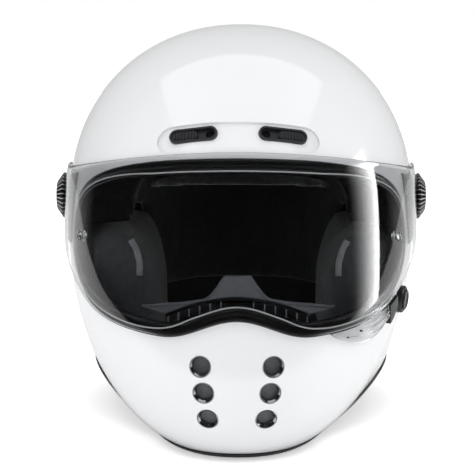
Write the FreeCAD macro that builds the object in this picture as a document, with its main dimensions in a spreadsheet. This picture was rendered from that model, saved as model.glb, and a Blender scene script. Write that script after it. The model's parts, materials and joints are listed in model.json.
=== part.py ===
"""Full-face motorcycle helmet with a flip-up clear visor.

Millimetres.  +Z is up, the chin faces -Y and the wearer's left side is +X.  The origin lies on the
plane that the helmet stands on, below the middle of its bounding box.

Every moulded layer is laid off one closed form, the outer skin of the shell.  The form is
star-shaped about the visor's pivot axis: in the side view its outline is a periodic spline of
reaches from the pivot, and every section across it is the same super-ellipse.  A layer is named by
how far it lies outside (+) or inside (-) that form, so what fits always follows what it fits.
"""
import FreeCAD, Part
import math
import os

import Sketcher

Vector = FreeCAD.Vector

SIZES = (
    # the form of the shell
    ("shell_half_width", 122.5, "half width at the pivots"),
    ("section_power", 2.1, "super-ellipse power of every section across the form"),
    ("pivot_set_back", 5.3, "pivot axis behind the middle of the length"),
    ("pivot_height", 150.0, "pivot axis above the standing plane"),
    ("reach_front", 148.0, "reach from the pivot, straight ahead"),
    ("reach_visor", 137.0, "reach 20 degrees above straight ahead"),
    ("reach_brow", 125.5, "reach at 50 degrees"),
    ("reach_crown", 122.0, "reach straight up"),
    ("reach_crown_back", 135.5, "reach at 130 degrees"),
    ("reach_back", 157.0, "reach at 170 degrees"),
    ("reach_back_low", 163.0, "reach at 200 degrees"),
    ("reach_nape", 180.0, "reach at 225 degrees"),
    ("reach_neck_back", 196.0, "reach at 250 degrees, below the opening's edge"),
    ("reach_neck", 212.0, "reach at 280 degrees, below the opening's edge"),
    ("reach_neck_front", 191.0, "reach at 300 degrees, below the opening's edge"),
    ("reach_jaw", 208.0, "reach at 316 degrees"),
    ("reach_chin", 199.0, "reach at 328 degrees"),
    ("reach_mouth", 172.0, "reach at 342 degrees"),
    ("shell_wall", 4.5, "thickness of the shell"),
    # the edge of the neck opening
    ("edge_height", 5.0, "shell edge above the standing plane at chin and nape"),
    ("arch_rise", 31.0, "how far the edge rises at the sides"),
    ("arch_centre", -2.7, "where along the length the arch is highest"),
    ("arch_half_length", 99.0, "half length of the arch"),
    # the eyeport
    ("eyeport_mid", 145.0, "height of the eyeport's widest level"),
    ("eyeport_azimuth", 57.4, "half opening angle seen from above, degrees"),
    ("eyeport_rise", 47.6, "top edge above the widest level"),
    ("eyeport_fall", 61.0, "bottom edge below the widest level"),
    ("nose_rise", 11.8, "rise of the bottom edge at the nose"),
    ("nose_azimuth", 18.0, "half width of that rise, degrees"),
    ("gasket_band", 8.5, "width of the eyeport gasket"),
    ("gasket_lip", 0.8, "sealing lip above the shell's surface"),
    ("gasket_grip", 2.5, "thickness of the gasket's flange behind the shell"),
    ("gasket_flange", 4.0, "how far the flange reaches behind the shell"),
    # the neck trim
    ("trim_drop", 4.5, "trim below the shell's edge"),
    ("trim_leg", 6.0, "height of the trim's inner leg"),
    ("trim_wall", 2.2, "thickness of the trim's legs"),
    ("trim_proud", 1.1, "trim proud of the shell"),
    ("foot_width", 24.0, "width of a foot under the trim"),
    ("foot_length", 6.0, "length of a foot, front to back"),
    ("foot_height", 2.0, "height of a foot, most of it inside the trim"),
    # running and seating clearances
    ("seat_gap", 0.3, "gap between a soft part or a pad and its neighbour"),
    ("fit_gap", 0.1, "gap round a rigid part in its seat"),
    ("running_gap", 0.08, "radial gap of a turning or sliding fit"),
    # the visor
    ("visor_gap", 1.2, "visor's inner face above the shell's surface"),
    ("visor_wall", 2.0, "thickness of the visor"),
    ("visor_top", 195.5, "height of the visor's top edge at the middle"),
    ("visor_overlap", 1.0, "visor's bottom edge below the eyeport's edge"),
    ("visor_corner", 44.0, "azimuth where the edge turns up to the pivot, degrees"),
    ("visor_arm", 24.0, "radius of the visor's arm round the pivot"),
    ("insert_pin_azimuth", 49.2, "azimuth of the insert pins, degrees"),
    ("insert_pin_height", 135.5, "height of the insert pins"),
    ("insert_pin_radius", 2.4, "radius of an insert pin's shank"),
    ("insert_pin_head", 3.8, "radius of an insert pin's head"),
    # finger tab, hook and lock button
    ("tab_start", 21.0, "azimuth of the tab's tip, degrees"),
    ("tab_end", 41.0, "azimuth of the tab's rear end, degrees"),
    ("tab_drop", 12.0, "greatest depth of the tab below the visor's edge"),
    ("tab_wall", 4.2, "thickness of the tab at its finger steps"),
    ("hook_end", 45.4, "azimuth of the hook's rear end, degrees"),
    ("hook_wall", 3.6, "thickness of the hook"),
    ("lock_azimuth", 52.0, "azimuth of the lock button, degrees"),
    ("lock_height", 92.5, "height of the lock button"),
    ("lock_radius", 7.0, "radius of the lock button"),
    ("lock_proud", 5.0, "lock button above the shell's surface"),
    ("lock_stroke", 2.0, "travel of the lock button"),
    ("collar_wall", 2.2, "wall of the button's collar"),
    # pivot mechanism
    ("plate_depth", 2.2, "depth of the pivot plate's recess"),
    ("plate_length", 59.0, "pivot plate in front of the pivot"),
    ("plate_round", 10.0, "radius of the plate's front corners"),
    ("hub_radius", 9.0, "radius of the pivot hub"),
    ("ratchet_radius", 19.0, "radius of the ratchet's notches about the pivot"),
    ("notch_radius", 1.3, "radius of one ratchet notch"),
    ("cover_radius", 16.6, "radius of the pivot cover"),
    ("cover_face", 10.5, "radius of the cover's flat face"),
    ("cover_height", 6.5, "height of the pivot cover"),
    ("cover_fin", 0.9, "width of a radial slit in the cover"),
    ("screw_head", 3.0, "radius of a plate screw's head"),
    ("screw_shank", 1.5, "radius of a plate screw's shank"),
    ("screw_length", 4.6, "length of a plate screw"),
    # chin ports
    ("port_radius", 6.9, "radius of a chin port's hole"),
    ("port_bore", 5.2, "radius inside a chin port's rim"),
    ("port_x_top", 22.8, "half spacing of the top ports"),
    ("port_x_mid", 20.9, "half spacing of the middle ports"),
    ("port_x_low", 18.4, "half spacing of the low ports"),
    ("port_z_top", 67.0, "height of the top ports"),
    ("port_z_mid", 50.2, "height of the middle ports"),
    ("port_z_low", 32.6, "height of the low ports"),
    ("mesh_wall", 0.8, "thickness of a port's mesh"),
    # brow vents
    ("recess_length", 104.0, "length of the brow recess"),
    ("recess_width", 19.0, "width of the brow recess"),
    ("recess_depth", 2.0, "depth of the brow recess"),
    ("recess_height", 207.0, "height of the brow recess"),
    ("vent_spacing", 29.0, "half spacing of the brow vents"),
    ("vent_length", 31.6, "length of a brow vent"),
    ("vent_width", 9.8, "width of a brow vent"),
    ("vent_wall", 1.3, "rim of a brow vent"),
    ("vent_depth", 4.6, "depth of a brow vent's frame"),
    ("inlet_radius", 3.0, "radius of a brow vent's inlet"),
    ("slider_length", 17.0, "length of a brow slider"),
    ("slider_wall", 1.4, "thickness of a brow slider"),
    ("rib_height", 0.9, "height of a slider's ribs"),
    # rear exhaust
    ("exhaust_x", 34.0, "half spacing of the rear exhaust ports"),
    ("exhaust_z", 95.0, "height of the rear exhaust ports"),
    # liners and pads
    ("head_half_width", 78.0, "half width of the space for the head"),
    ("head_half_length", 99.0, "half length of the space for the head"),
    ("head_rise", 90.0, "space for the head above its widest level"),
    ("head_set_back", 7.3, "middle of the head behind the middle of the helmet"),
    ("head_level", 142.0, "height of the head's widest level"),
    ("lining_wall", 7.5, "thickness of the crown lining"),
    ("liner_edge", 5.0, "liner's edge back from the eyeport's edge"),
    ("liner_lift", 24.0, "liner's lower edge above the shell's edge"),
    ("chin_liner_wall", 20.0, "thickness of the chin bar liner"),
    ("cheek_gap", 58.0, "inner face of a cheek pad from the middle"),
    ("cheek_front", 87.7, "cheek pad's front end ahead of the middle"),
    ("cheek_step", -41.7, "where a cheek pad steps in behind the gasket"),
    ("cheek_rear", 48.3, "cheek pad's rear end behind the middle"),
    ("cheek_top", 138.0, "height of a cheek pad's top"),
    ("cheek_lift", 9.0, "cheek pad's bottom above the shell's edge"),
    ("cheek_round", 16.0, "radius of a cheek pad's corners"),
    ("cheek_full", 105.0, "height above which a cheek pad thins towards its top"),
    ("roll_wall", 20.0, "thickness of the neck roll"),
    ("roll_height", 24.0, "height of the neck roll"),
    ("roll_lift", 2.0, "neck roll above the trim's inner leg"),
    ("brow_pad_bottom", 173.0, "height of the brow pad's bottom edge at the middle"),
    ("brow_pad_top", 184.5, "height of the brow pad's top edge at the middle"),
    ("brow_pad_droop", 6.0, "ends of its bottom edge below the middle"),
    ("brow_pad_azimuth", 44.0, "half width of the brow pad, degrees"),
    # vent strip and breath deflector
    ("strip_half_length", 46.0, "half length of the vent strip"),
    ("strip_front", 145.7, "front face of the strip ahead of the middle"),
    ("strip_wall", 5.0, "depth of the strip front to back"),
    ("strip_top", 107.0, "top of the strip at the middle"),
    ("strip_height", 9.0, "height of the strip"),
    ("strip_slot", 5.6, "width of one slot in the strip"),
    ("strip_pitch", 6.8, "spacing of the slots"),
    ("deflector_wall", 2.2, "thickness of the breath deflector"),
    ("deflector_top", 119.0, "height of the deflector's top edge"),
    ("deflector_tip", 10.5, "half width of the deflector's top edge"),
    ("deflector_foot", 24.0, "half width where the deflector's wings start"),
    ("deflector_span", 62.0, "half width over the deflector's wings"),
    # straps
    ("strap_width", 22.0, "width of the webbing"),
    ("strap_wall", 1.8, "thickness of the webbing"),
    ("strap_y", 10.3, "middle of the straps behind the middle"),
    ("anchor_height", 62.0, "height of the strap anchors"),
    ("strap_end", 66.0, "loop at the end of a strap, from the middle"),
    ("anchor_length", 26.0, "length of a strap anchor plate"),
    ("anchor_width", 14.0, "width of a strap anchor plate"),
    ("anchor_wall", 1.6, "thickness of a strap anchor plate"),
    ("strap_clear", 1.2, "webbing off the anchor plate, for the wall's curve"),
    ("rivet_shank", 2.5, "radius of a strap rivet's shank"),
    ("rivet_head", 4.5, "radius of a strap rivet's head"),
    ("ring_wire", 1.8, "radius of the D rings' wire"),
    ("ring_reach", 22.0, "length of a D ring from its bar"),
    ("snap_radius", 6.0, "radius of the snaps"),
    ("plunger_radius", 1.9, "radius of the ratchet's plunger"),
)

doc = FreeCAD.newDocument("Helmet")
sheet = doc.addObject("Spreadsheet::Sheet", "Sizes")
for row, (alias, value, note) in enumerate(SIZES, start=1):
    sheet.set("A%d" % row, note)
    sheet.set("B%d" % row, str(value))
    sheet.setAlias("B%d" % row, alias)
doc.recompute()


def size(alias):
    """The value that the sheet holds under this alias."""
    return float(getattr(sheet, alias))


# ---------------------------------------------------------------- the form of the helmet

PIVOT = Vector(0, size("pivot_set_back"), size("pivot_height"))
SIDE_REACHES = (
    (0, "reach_front"), (20, "reach_visor"), (50, "reach_brow"), (90, "reach_crown"),
    (130, "reach_crown_back"), (170, "reach_back"), (200, "reach_back_low"), (225, "reach_nape"),
    (250, "reach_neck_back"), (280, "reach_neck"), (300, "reach_neck_front"), (316, "reach_jaw"),
    (328, "reach_chin"), (342, "reach_mouth"),
)


def solve(rows):
    """Gauss-Jordan elimination of a small square system with its right-hand side appended."""
    count = len(rows)
    for pivot in range(count):
        best = max(range(pivot, count), key=lambda index: abs(rows[index][pivot]))
        rows[pivot], rows[best] = rows[best], rows[pivot]
        scale = rows[pivot][pivot]
        rows[pivot] = [value / scale for value in rows[pivot]]
        for index in range(count):
            if index != pivot:
                factor = rows[index][pivot]
                rows[index] = [a - factor * b for a, b in zip(rows[index], rows[pivot])]
    return [row[-1] for row in rows]


def periodic_spline(knots, values, period):
    """Smooth cubic spline through the values, closed over the period, as a function."""
    count = len(knots)
    steps = [(knots[(i + 1) % count] - knots[i]) % period for i in range(count)]
    slopes = [(values[(i + 1) % count] - values[i]) / steps[i] for i in range(count)]
    rows = []
    for i in range(count):
        row = [0.0] * (count + 1)
        row[i - 1 if i else count - 1] = steps[i - 1]
        row[i] = 2 * (steps[i - 1] + steps[i])
        row[(i + 1) % count] = steps[i]
        row[count] = 6 * (slopes[i] - slopes[i - 1])
        rows.append(row)
    bends = solve(rows)

    def value_at(position):
        position = position % period
        i = max(index for index in range(count) if knots[index] <= position)
        after = (position - knots[i]) / steps[i]
        before = 1 - after
        follow = (i + 1) % count
        bend = (before**3 - before) * bends[i] + (after**3 - after) * bends[follow]
        return before * values[i] + after * values[follow] + bend * steps[i] ** 2 / 6

    return value_at


side_reach = periodic_spline(
    [angle for angle, _ in SIDE_REACHES], [size(alias) for _, alias in SIDE_REACHES], 360.0
)


def fill(point):
    """1 on the form, less inside and more outside: the form is this function's level set."""
    x, y, z = point - PIVOT
    across = abs(x) / size_half_width
    along = math.hypot(y, z) / side_reach(math.degrees(math.atan2(z, -y)))
    return (across**size_power + along**size_power) ** (1 / size_power)


size_half_width = size("shell_half_width")
size_power = size("section_power")


def outward(point):
    """Unit normal of the form's level set through a point."""
    step = 0.05
    slope = Vector(*[
        fill(point + axis * step) - fill(point - axis * step)
        for axis in (Vector(1, 0, 0), Vector(0, 1, 0), Vector(0, 0, 1))
    ])
    if abs(point.x) < step:
        slope.x = 0
    return slope.normalize()


def on_form(direction, offset=0.0):
    """The form's point in a direction from the pivot centre, moved along its normal."""
    point = PIVOT + direction * (1 / fill(PIVOT + direction))
    return point + outward(point) * offset if offset else point


def unit(x, y, z):
    return Vector(x, y, z).normalize()


def bisect(level, low, high):
    """Where a level function changes sign between two parameters."""
    rising = level(high) > 0
    for _ in range(40):
        middle = (low + high) / 2
        if (level(middle) > 0) == rising:
            high = middle
        else:
            low = middle
    return (low + high) / 2


def at_height(azimuth, height, offset=0.0):
    """The form's point at an azimuth from straight ahead (degrees) and a height."""
    turn = math.radians(azimuth)
    ahead = Vector(math.sin(turn), -math.cos(turn), 0)

    def level(distance):
        return fill(PIVOT + ahead * distance + Vector(0, 0, height - PIVOT.z)) - 1

    distance = bisect(level, 0.0, 2 * size_half_width)
    point = PIVOT + ahead * distance + Vector(0, 0, height - PIVOT.z)
    return point + outward(point) * offset if offset else point


def beside(y, z, offset=0.0):
    """The form's point on the +X side at a place in the side view."""
    along = math.hypot(y - PIVOT.y, z - PIVOT.z)
    along /= side_reach(math.degrees(math.atan2(z - PIVOT.z, PIVOT.y - y)))
    x = size_half_width * (1 - along**size_power) ** (1 / size_power)
    point = Vector(x, y, z)
    return point + outward(point) * offset if offset else point


def ahead_of(x, z, offset=0.0):
    """The form's front point at a place in the front view."""
    y = bisect(lambda y: 1 - fill(Vector(x, y, z)), -1.5 * size("reach_jaw"), 0.0)
    point = Vector(x, y, z)
    return point + outward(point) * offset if offset else point


def frame_at(point, across=Vector(1, 0, 0)):
    """Placement whose Z is the form's normal and whose X runs with the given direction."""
    return FreeCAD.Placement(point, FreeCAD.Rotation(across, Vector(0, 0, 0), outward(point), "ZXY"))


# ---------------------------------------------------------------- the two openings

def eyeport_azimuth_of(point):
    return math.degrees(math.atan2(abs(point.x), PIVOT.y - point.y))


def nose_wave(azimuth):
    """Rise of the eyeport's bottom edge over the nose."""
    share = abs(azimuth) / size("nose_azimuth")
    return size("nose_rise") * (1 - share**2) ** 3 if share < 1 else 0.0


def eyeport_level(point, grow=0.0):
    """Below 0 inside the eyeport's outline, which is widened all round by grow."""
    azimuth = eyeport_azimuth_of(point)
    spread = math.degrees(grow / math.hypot(point.x, point.y - PIVOT.y))
    across = azimuth / (size("eyeport_azimuth") + spread)
    rise = point.z - size("eyeport_mid")
    if rise > 0:
        return across**2 + (rise / (size("eyeport_rise") + grow)) ** 2.5 - 1
    fall = size("eyeport_fall") + grow - nose_wave(azimuth)
    return across**3 + (-rise / fall) ** 2.15 - 1


def eyeport_bottom(azimuth, grow):
    """Height of the eyeport's bottom edge at an azimuth."""
    low = size("eyeport_mid") - size("eyeport_fall") - grow - 1
    return bisect(
        lambda z: -eyeport_level(at_height(azimuth, z), grow), low, size("eyeport_mid")
    )


def edge_height(y):
    """Height of the shell's lower edge along the length: flat, arched up at the sides."""
    share = (y - size("arch_centre")) / size("arch_half_length")
    rise = size("arch_rise") * (1 - share**2) ** 2 if abs(share) < 1 else 0.0
    return size("edge_height") + rise


# ---------------------------------------------------------------- arcs from eyeport to neck

EYE = unit(0, -1, -0.08)
NECK = unit(0, -0.04, -1)


def arc_direction(theta, share):
    """Direction at a share of the circular arc that leaves the eyeport's centre for the neck's.

    Theta 0 is the short arc down the chin, 180 the long one over the crown, 90 the one round the
    wearer's left side.  All arcs together cover every direction once.
    """
    middle = (EYE + NECK) * 0.5
    chord = (NECK - EYE).normalize()
    turn = math.radians(theta)
    bulge = unit(middle.x, middle.y, middle.z) * math.cos(turn) + Vector(math.sin(turn), 0, 0)
    bulge.normalize()
    depth = middle.dot(bulge)
    radius = math.sqrt(1 - (middle.dot(middle) - depth**2))
    end = math.acos(max(-1.0, min(1.0, depth / radius)))
    swing = end * (2 * share - 1)
    direction = middle + bulge * (radius * math.cos(swing) - depth) + chord * radius * math.sin(swing)
    return direction.normalize()


def eyeport_share(theta, grow):
    """Share of the arc at which it leaves the widened eyeport."""
    return bisect(lambda share: eyeport_level(on_form(arc_direction(theta, share)), grow), 0.02, 0.98)


def neck_share(theta, lift):
    """Share of the arc at which it comes down to a height above the shell's edge."""

    def level(share):
        point = on_form(arc_direction(theta, share))
        return edge_height(point.y) + lift - point.z

    return bisect(level, 0.05, 0.999)


def spaced(start, end, count):
    return [start + (end - start) * index / (count - 1) for index in range(count)]


def arcs(theta_start, theta_end, count, grow, lift, rows):
    """Directions on a grid: one row per arc, from the widened eyeport to the raised neck edge."""
    grid = []
    for theta in spaced(theta_start, theta_end, count):
        first = eyeport_share(theta, grow)
        last = neck_share(theta, lift)
        grid.append([arc_direction(theta, share) for share in spaced(first, last, rows)])
    return grid


# ---------------------------------------------------------------- turning grids into solids

def mirrored(shape):
    return shape.mirror(Vector(0, 0, 0), Vector(1, 0, 0))


def sewn(faces):
    """One solid from faces that meet edge to edge."""
    shell = Part.makeShell(faces)
    shell.sewShape()
    if shell.ShapeType != "Shell":
        shell = shell.Shells[0]
    solid = Part.makeSolid(shell)
    if solid.Volume < 0:
        solid.reverse()
    return solid


def skin(grid):
    """Smooth surface through a grid of points, to the finest tolerance that the fit reaches."""
    surface = Part.BSplineSurface()
    for tolerance in (0.02, 0.03, 0.05):
        try:
            surface.approximate(Points=grid, DegMin=3, DegMax=5, Continuity=2, Tolerance=tolerance)
            return surface
        except Part.OCCError:
            continue
    raise RuntimeError("no smooth surface fits the points")


def square_to_mid_plane(surface, row, next_row):
    """Lay a border row of poles in the mid plane, with the surface leaving it at right angles."""
    for column in range(1, surface.NbVPoles + 1):
        border = surface.getPole(row, column)
        beyond = surface.getPole(next_row, column)
        surface.setPole(row, column, Vector(0, border.y, border.z))
        surface.setPole(next_row, column, Vector(beyond.x, border.y, border.z))


def borders(surface):
    """The four border edges of a surface: start and end row, start and end column."""
    first_u, last_u, first_v, last_v = surface.bounds()
    return [
        surface.uIso(first_u).toShape(), surface.uIso(last_u).toShape(),
        surface.vIso(first_v).toShape(), surface.vIso(last_v).toShape(),
    ]


def slab_faces(outer_grid, inner_grid, start_in_middle=False, end_in_middle=False):
    """Outer face, inner face and the four ruled faces between their borders."""
    outer = skin(outer_grid)
    inner = skin(inner_grid)
    for surface in (outer, inner):
        if start_in_middle:
            square_to_mid_plane(surface, 1, 2)
        if end_in_middle:
            square_to_mid_plane(surface, surface.NbUPoles, surface.NbUPoles - 1)
    rims = [Part.makeRuledSurface(a, b) for a, b in zip(borders(outer), borders(inner))]
    return [outer.toShape(), inner.toShape()] + rims


def slab(outer_grid, inner_grid):
    """Solid between two grids of points."""
    return sewn(slab_faces(outer_grid, inner_grid))


def mirrored_slab(outer_grid, inner_grid):
    """Solid whose first row lies in the mid plane, sewn to its mirror image there."""
    outer, inner, start, end, low, high = slab_faces(outer_grid, inner_grid, True)
    half = [outer, inner, end, low, high]
    return sewn(half + [mirrored(face) for face in half])


def mirrored_ring(outer_grid, inner_grid):
    """Solid whose first and last rows lie in the mid plane, sewn to its mirror image there."""
    outer, inner, start, end, low, high = slab_faces(outer_grid, inner_grid, True, True)
    half = [outer, inner, low, high]
    return sewn(half + [mirrored(face) for face in half])


def smooth_curve(points):
    """Smooth curve from mid plane to mid plane, square to it at both ends."""
    curve = Part.BSplineCurve()
    curve.approximate(Points=points, DegMin=3, DegMax=5, Continuity="C2", Tolerance=0.02)
    last = curve.NbPoles
    for pole, next_pole in ((1, 2), (last, last - 1)):
        end = curve.getPole(pole)
        beyond = curve.getPole(next_pole)
        curve.setPole(pole, Vector(0, end.y, end.z))
        curve.setPole(next_pole, Vector(beyond.x, end.y, end.z))
    return curve.toShape()


def mirrored_bead(corner_rows):
    """Ring whose section is a polygon: each corner is a row of points from mid plane to mid plane."""
    curves = [smooth_curve(points) for points in corner_rows]
    half = [Part.makeRuledSurface(a, b) for a, b in zip(curves, curves[1:] + curves[:1])]
    return sewn(half + [mirrored(face) for face in half])


def rounded_prism(x_low, x_high, y_low, y_high, radius, height):
    """Upright prism with a rounded rectangle for its base."""
    box = Part.makeBox(x_high - x_low, y_high - y_low, height, Vector(x_low, y_low, 0))
    uprights = [edge for edge in box.Edges if abs(edge.tangentAt(edge.FirstParameter).z) > 0.5]
    return box.makeFillet(radius, uprights)


def side_prism(y_low, y_high, z_low, z_high, radius):
    """Rounded outline in the side view, carried across the whole width."""
    span = 4 * size_half_width
    prism = rounded_prism(y_low, y_high, z_low, z_high, radius, span)
    # local X, Y, Z become Y, Z, X
    turn = FreeCAD.Rotation(Vector(0, 1, 0), Vector(0, 0, 1), Vector(1, 0, 0), "ZXY")
    prism.Placement = FreeCAD.Placement(Vector(-span / 2, 0, 0), turn)
    return prism


def feature(label, shape, placement=None):
    """A document object for a sub-part whose shape comes from Part's own functions."""
    item = doc.addObject("Part::Feature", label)
    item.Label = label
    item.Shape = shape
    if placement:
        item.Placement = placement
    return item


# ---------------------------------------------------------------- tools shared by the pieces

wall = size("shell_wall")
seat = size("seat_gap")
fit = size("fit_gap")
running = size("running_gap")
THROUGH = 40.0
AROUND = 73
ALONG = 49


def layer(directions, outer_offset, inner_offset):
    """Two grids of points, at two offsets from the form, for the same directions."""
    outer = [[on_form(d, outer_offset) for d in row] for row in directions]
    inner = [[on_form(d, inner_offset) for d in row] for row in directions]
    return outer, inner


def visor_side_layer(y_low, y_high, z_low, z_high, outer_offset, inner_offset):
    """Layer over a rectangle of the side view, on the +X side."""
    places = [(y, z) for y in spaced(y_low, y_high, 13) for z in spaced(z_low, z_high, 13)]
    outer = [beside(y, z, outer_offset) for y, z in places]
    inner = [beside(y, z, inner_offset) for y, z in places]
    rows = range(0, len(places), 13)
    return slab([outer[i:i + 13] for i in rows], [inner[i:i + 13] for i in rows])


def front_layer(azimuth, z_low, z_high, outer_offset, inner_offset):
    """Layer over a band of heights, the same angle to both sides of the middle."""
    turns = spaced(-azimuth, azimuth, 25)
    heights = spaced(z_low, z_high, 9)
    outer = [[at_height(turn, z, outer_offset) for z in heights] for turn in turns]
    inner = [[at_height(turn, z, inner_offset) for z in heights] for turn in turns]
    return slab(outer, inner)


def stadium(length, width, bottom, top):
    """Upright prism with round ends, centred on the local Z axis."""
    radius = width / 2
    half = length / 2 - radius
    right, left = Vector(half, 0, bottom), Vector(-half, 0, bottom)
    up = Vector(0, radius, 0)
    outline = Part.Wire([
        Part.makeLine(left + up, right + up),
        Part.Arc(right + up, right + Vector(radius, 0, 0), right - up).toShape(),
        Part.makeLine(right - up, left - up),
        Part.Arc(left - up, left - Vector(radius, 0, 0), left + up).toShape(),
    ])
    return Part.Face(outline).extrude(Vector(0, 0, top - bottom))


def placed(shape, placement):
    copy = shape.copy()
    copy.Placement = placement
    return copy


def rod(radius, bottom, top):
    return Part.makeCylinder(radius, top - bottom, Vector(0, 0, bottom))


# frames of the pieces that sit on the form, +X side first
port_frames = [
    frame_at(ahead_of(side * size(x), size(z)))
    for x, z in (("port_x_top", "port_z_top"), ("port_x_mid", "port_z_mid"), ("port_x_low", "port_z_low"))
    for side in (1, -1)
]
vent_frames = [
    frame_at(ahead_of(side * size("vent_spacing"), size("recess_height")), Vector(side, 0, 0))
    for side in (1, -1)
]
lock_frame = frame_at(at_height(size("lock_azimuth"), size("lock_height")), Vector(0, 1, 0))


def behind(x, z):
    """Frame on the back of the form at a place in the rear view."""
    y = bisect(lambda y: fill(Vector(x, y, z)) - 1, 0.0, 1.5 * size("reach_nape"))
    return frame_at(Vector(x, y, z))


exhaust_frames = [behind(side * size("exhaust_x"), size("exhaust_z")) for side in (1, -1)]
plate_screw_places = [
    (PIVOT.y - size("plate_length") + size("plate_round") + 1, PIVOT.z + side * (size("visor_arm") - 8))
    for side in (1, -1)
]


plunger_place = (PIVOT.y - size("ratchet_radius") * 0.9, PIVOT.z - size("ratchet_radius") * 0.6)


def across_frame(y, z, x):
    """Frame whose Z points to +X, at a place in the side view."""
    return FreeCAD.Placement(Vector(x, y, z), FreeCAD.Rotation(Vector(0, 1, 0), 90))


def plate_outline(grow):
    """Side-view prism of a pivot plate: round about the pivot, long towards the eyeport."""
    arm = size("visor_arm") + grow
    front = PIVOT.y - size("plate_length") - grow
    body = side_prism(front, PIVOT.y, PIVOT.z - arm + 2, PIVOT.z + arm - 2, size("plate_round"))
    disc = placed(rod(arm, -2 * size_half_width, 2 * size_half_width), across_frame(PIVOT.y, PIVOT.z, 0))
    return body.fuse(disc)


# ---------------------------------------------------------------- outer shell

def make_outer_shell():
    outer, inner = layer(arcs(0, 180, AROUND, 0, 0, ALONG), 0.0, -wall)
    shell = mirrored_ring(outer, inner)
    arm = size("visor_arm") + 4
    front = size("plate_length") + 6
    recess = visor_side_layer(
        PIVOT.y - front, PIVOT.y + arm, PIVOT.z - arm, PIVOT.z + arm, 3.0, -size("plate_depth")
    ).common(plate_outline(fit))
    tools = [recess, mirrored(recess)]
    port = rod(size("port_radius") + fit, -THROUGH / 2, THROUGH / 2)
    tools += [placed(port, frame) for frame in port_frames + exhaust_frames]
    half = size("recess_width") / 2
    brow = front_layer(
        35.0, size("recess_height") - half - 4, size("recess_height") + half + 4,
        3.0, -size("recess_depth")
    )
    middle = frame_at(ahead_of(0, size("recess_height")))
    outline = stadium(size("recess_length"), size("recess_width"), -THROUGH, THROUGH)
    tools.append(brow.common(placed(outline, middle)))
    slot = stadium(
        size("vent_length") + 2 * fit, size("vent_width") + 2 * fit, -THROUGH / 4, THROUGH / 4
    )
    tools += [placed(slot, frame) for frame in vent_frames]
    collar = size("lock_radius") + size("collar_wall") + fit
    tools.append(placed(rod(collar, -THROUGH / 4, THROUGH / 4), lock_frame))
    shank = rod(size("screw_shank") + fit, -2 * wall, 2 * wall)
    for y, z in plate_screw_places:
        hole = placed(shank, frame_at(beside(y, z), Vector(0, 1, 0)))
        tools += [hole, mirrored(hole)]
    rivet = placed(rod(size("rivet_shank") + fit, -2 * wall, -0.3 * wall), anchor_frame())
    tools += [rivet, mirrored(rivet)]
    return feature("outer_shell", shell.cut(tools))


# ---------------------------------------------------------------- rubber edges

# turns of the arcs that run down the chin and over the crown to the nape
CHIN = 0.0
NAPE = 180.0


def ring_thetas():
    return spaced(CHIN, NAPE, AROUND)


def make_eyeport_gasket():
    """Channel that grips the eyeport's edge, with a sealing lip that meets the visor."""
    band = size("gasket_band")
    lip = size("gasket_lip")
    back = -wall - seat
    grip = back - size("gasket_grip")
    flange = size("gasket_flange")
    section = (
        (-fit, 0.2), (-0.35 * band, -0.9), (-0.72 * band, -0.9), (-0.8 * band, lip),
        (-0.95 * band, lip), (-band, -0.8), (-0.93 * band, grip), (flange, grip), (flange, back),
        (-fit, back),
    )
    rows = []
    for grow, offset in section:
        shares = [(theta, eyeport_share(theta, grow)) for theta in ring_thetas()]
        rows.append([on_form(arc_direction(theta, share), offset) for theta, share in shares])
    return feature("eyeport_gasket", mirrored_bead(rows))


def level_out(point, offset):
    """Point moved level, far enough to lie at an offset from the form."""
    normal = outward(point)
    level = Vector(normal.x, normal.y, 0)
    return point + level * (offset / level.dot(level))


def standing_foot(theta, offset):
    """Low land under the trim, at chin or nape, whose flat underside carries the helmet."""
    lift = -size("trim_drop")
    middle = level_out(on_form(arc_direction(theta, neck_share(theta, lift))), offset)
    width = size("foot_width")
    length = size("foot_length")
    corner = Vector(-width / 2, middle.y - length / 2, 0)
    return Part.makeBox(width, length, size("foot_height"), corner)


def make_bottom_trim():
    """Rubber channel round the shell's lower edge, on two low feet with flat undersides."""
    drop = size("trim_drop")
    proud = size("trim_proud")
    back = -wall - seat
    leg = back - size("trim_wall")
    section = (
        (-fit, 0.5 * proud), (-0.25 * drop, proud), (-0.7 * drop, proud), (-drop, -0.6),
        (-drop, leg + 1.2), (-0.7 * drop, leg), (size("trim_leg"), leg),
        (size("trim_leg"), back), (-fit, back),
    )
    rows = []
    for lift, offset in section:
        points = [
            on_form(arc_direction(theta, neck_share(theta, lift))) for theta in ring_thetas()
        ]
        rows.append([level_out(point, offset) for point in points])
    middle = (leg + 0.6) / 2
    feet = [standing_foot(CHIN, middle), standing_foot(NAPE, middle)]
    return feature("bottom_trim", mirrored_bead(rows).fuse(feet))


# ---------------------------------------------------------------- impact liners

def head_reach(direction):
    """Reach from the pivot centre to the space for the head: an ellipsoid, straight-sided below."""
    centre = Vector(0, size("head_set_back"), size("head_level")) - PIVOT
    half_width = size("head_half_width")
    half_length = size("head_half_length")

    def level(reach):
        x, y, z = direction * reach - centre
        round_part = math.hypot(x / half_width, y / half_length)
        return (math.hypot(round_part, z / size("head_rise")) if z > 0 else round_part) - 1

    return bisect(level, 0.0, 3 * half_length)


def head_layer(directions, outer_gap, inner_gap):
    """Two grids of points, at two gaps outside the space for the head."""
    reaches = [[head_reach(d) for d in row] for row in directions]
    grids = []
    for gap in (outer_gap, inner_gap):
        grids.append([
            [PIVOT + d * (reach + gap) for d, reach in zip(row, line)]
            for row, line in zip(directions, reaches)
        ])
    return grids


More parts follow.
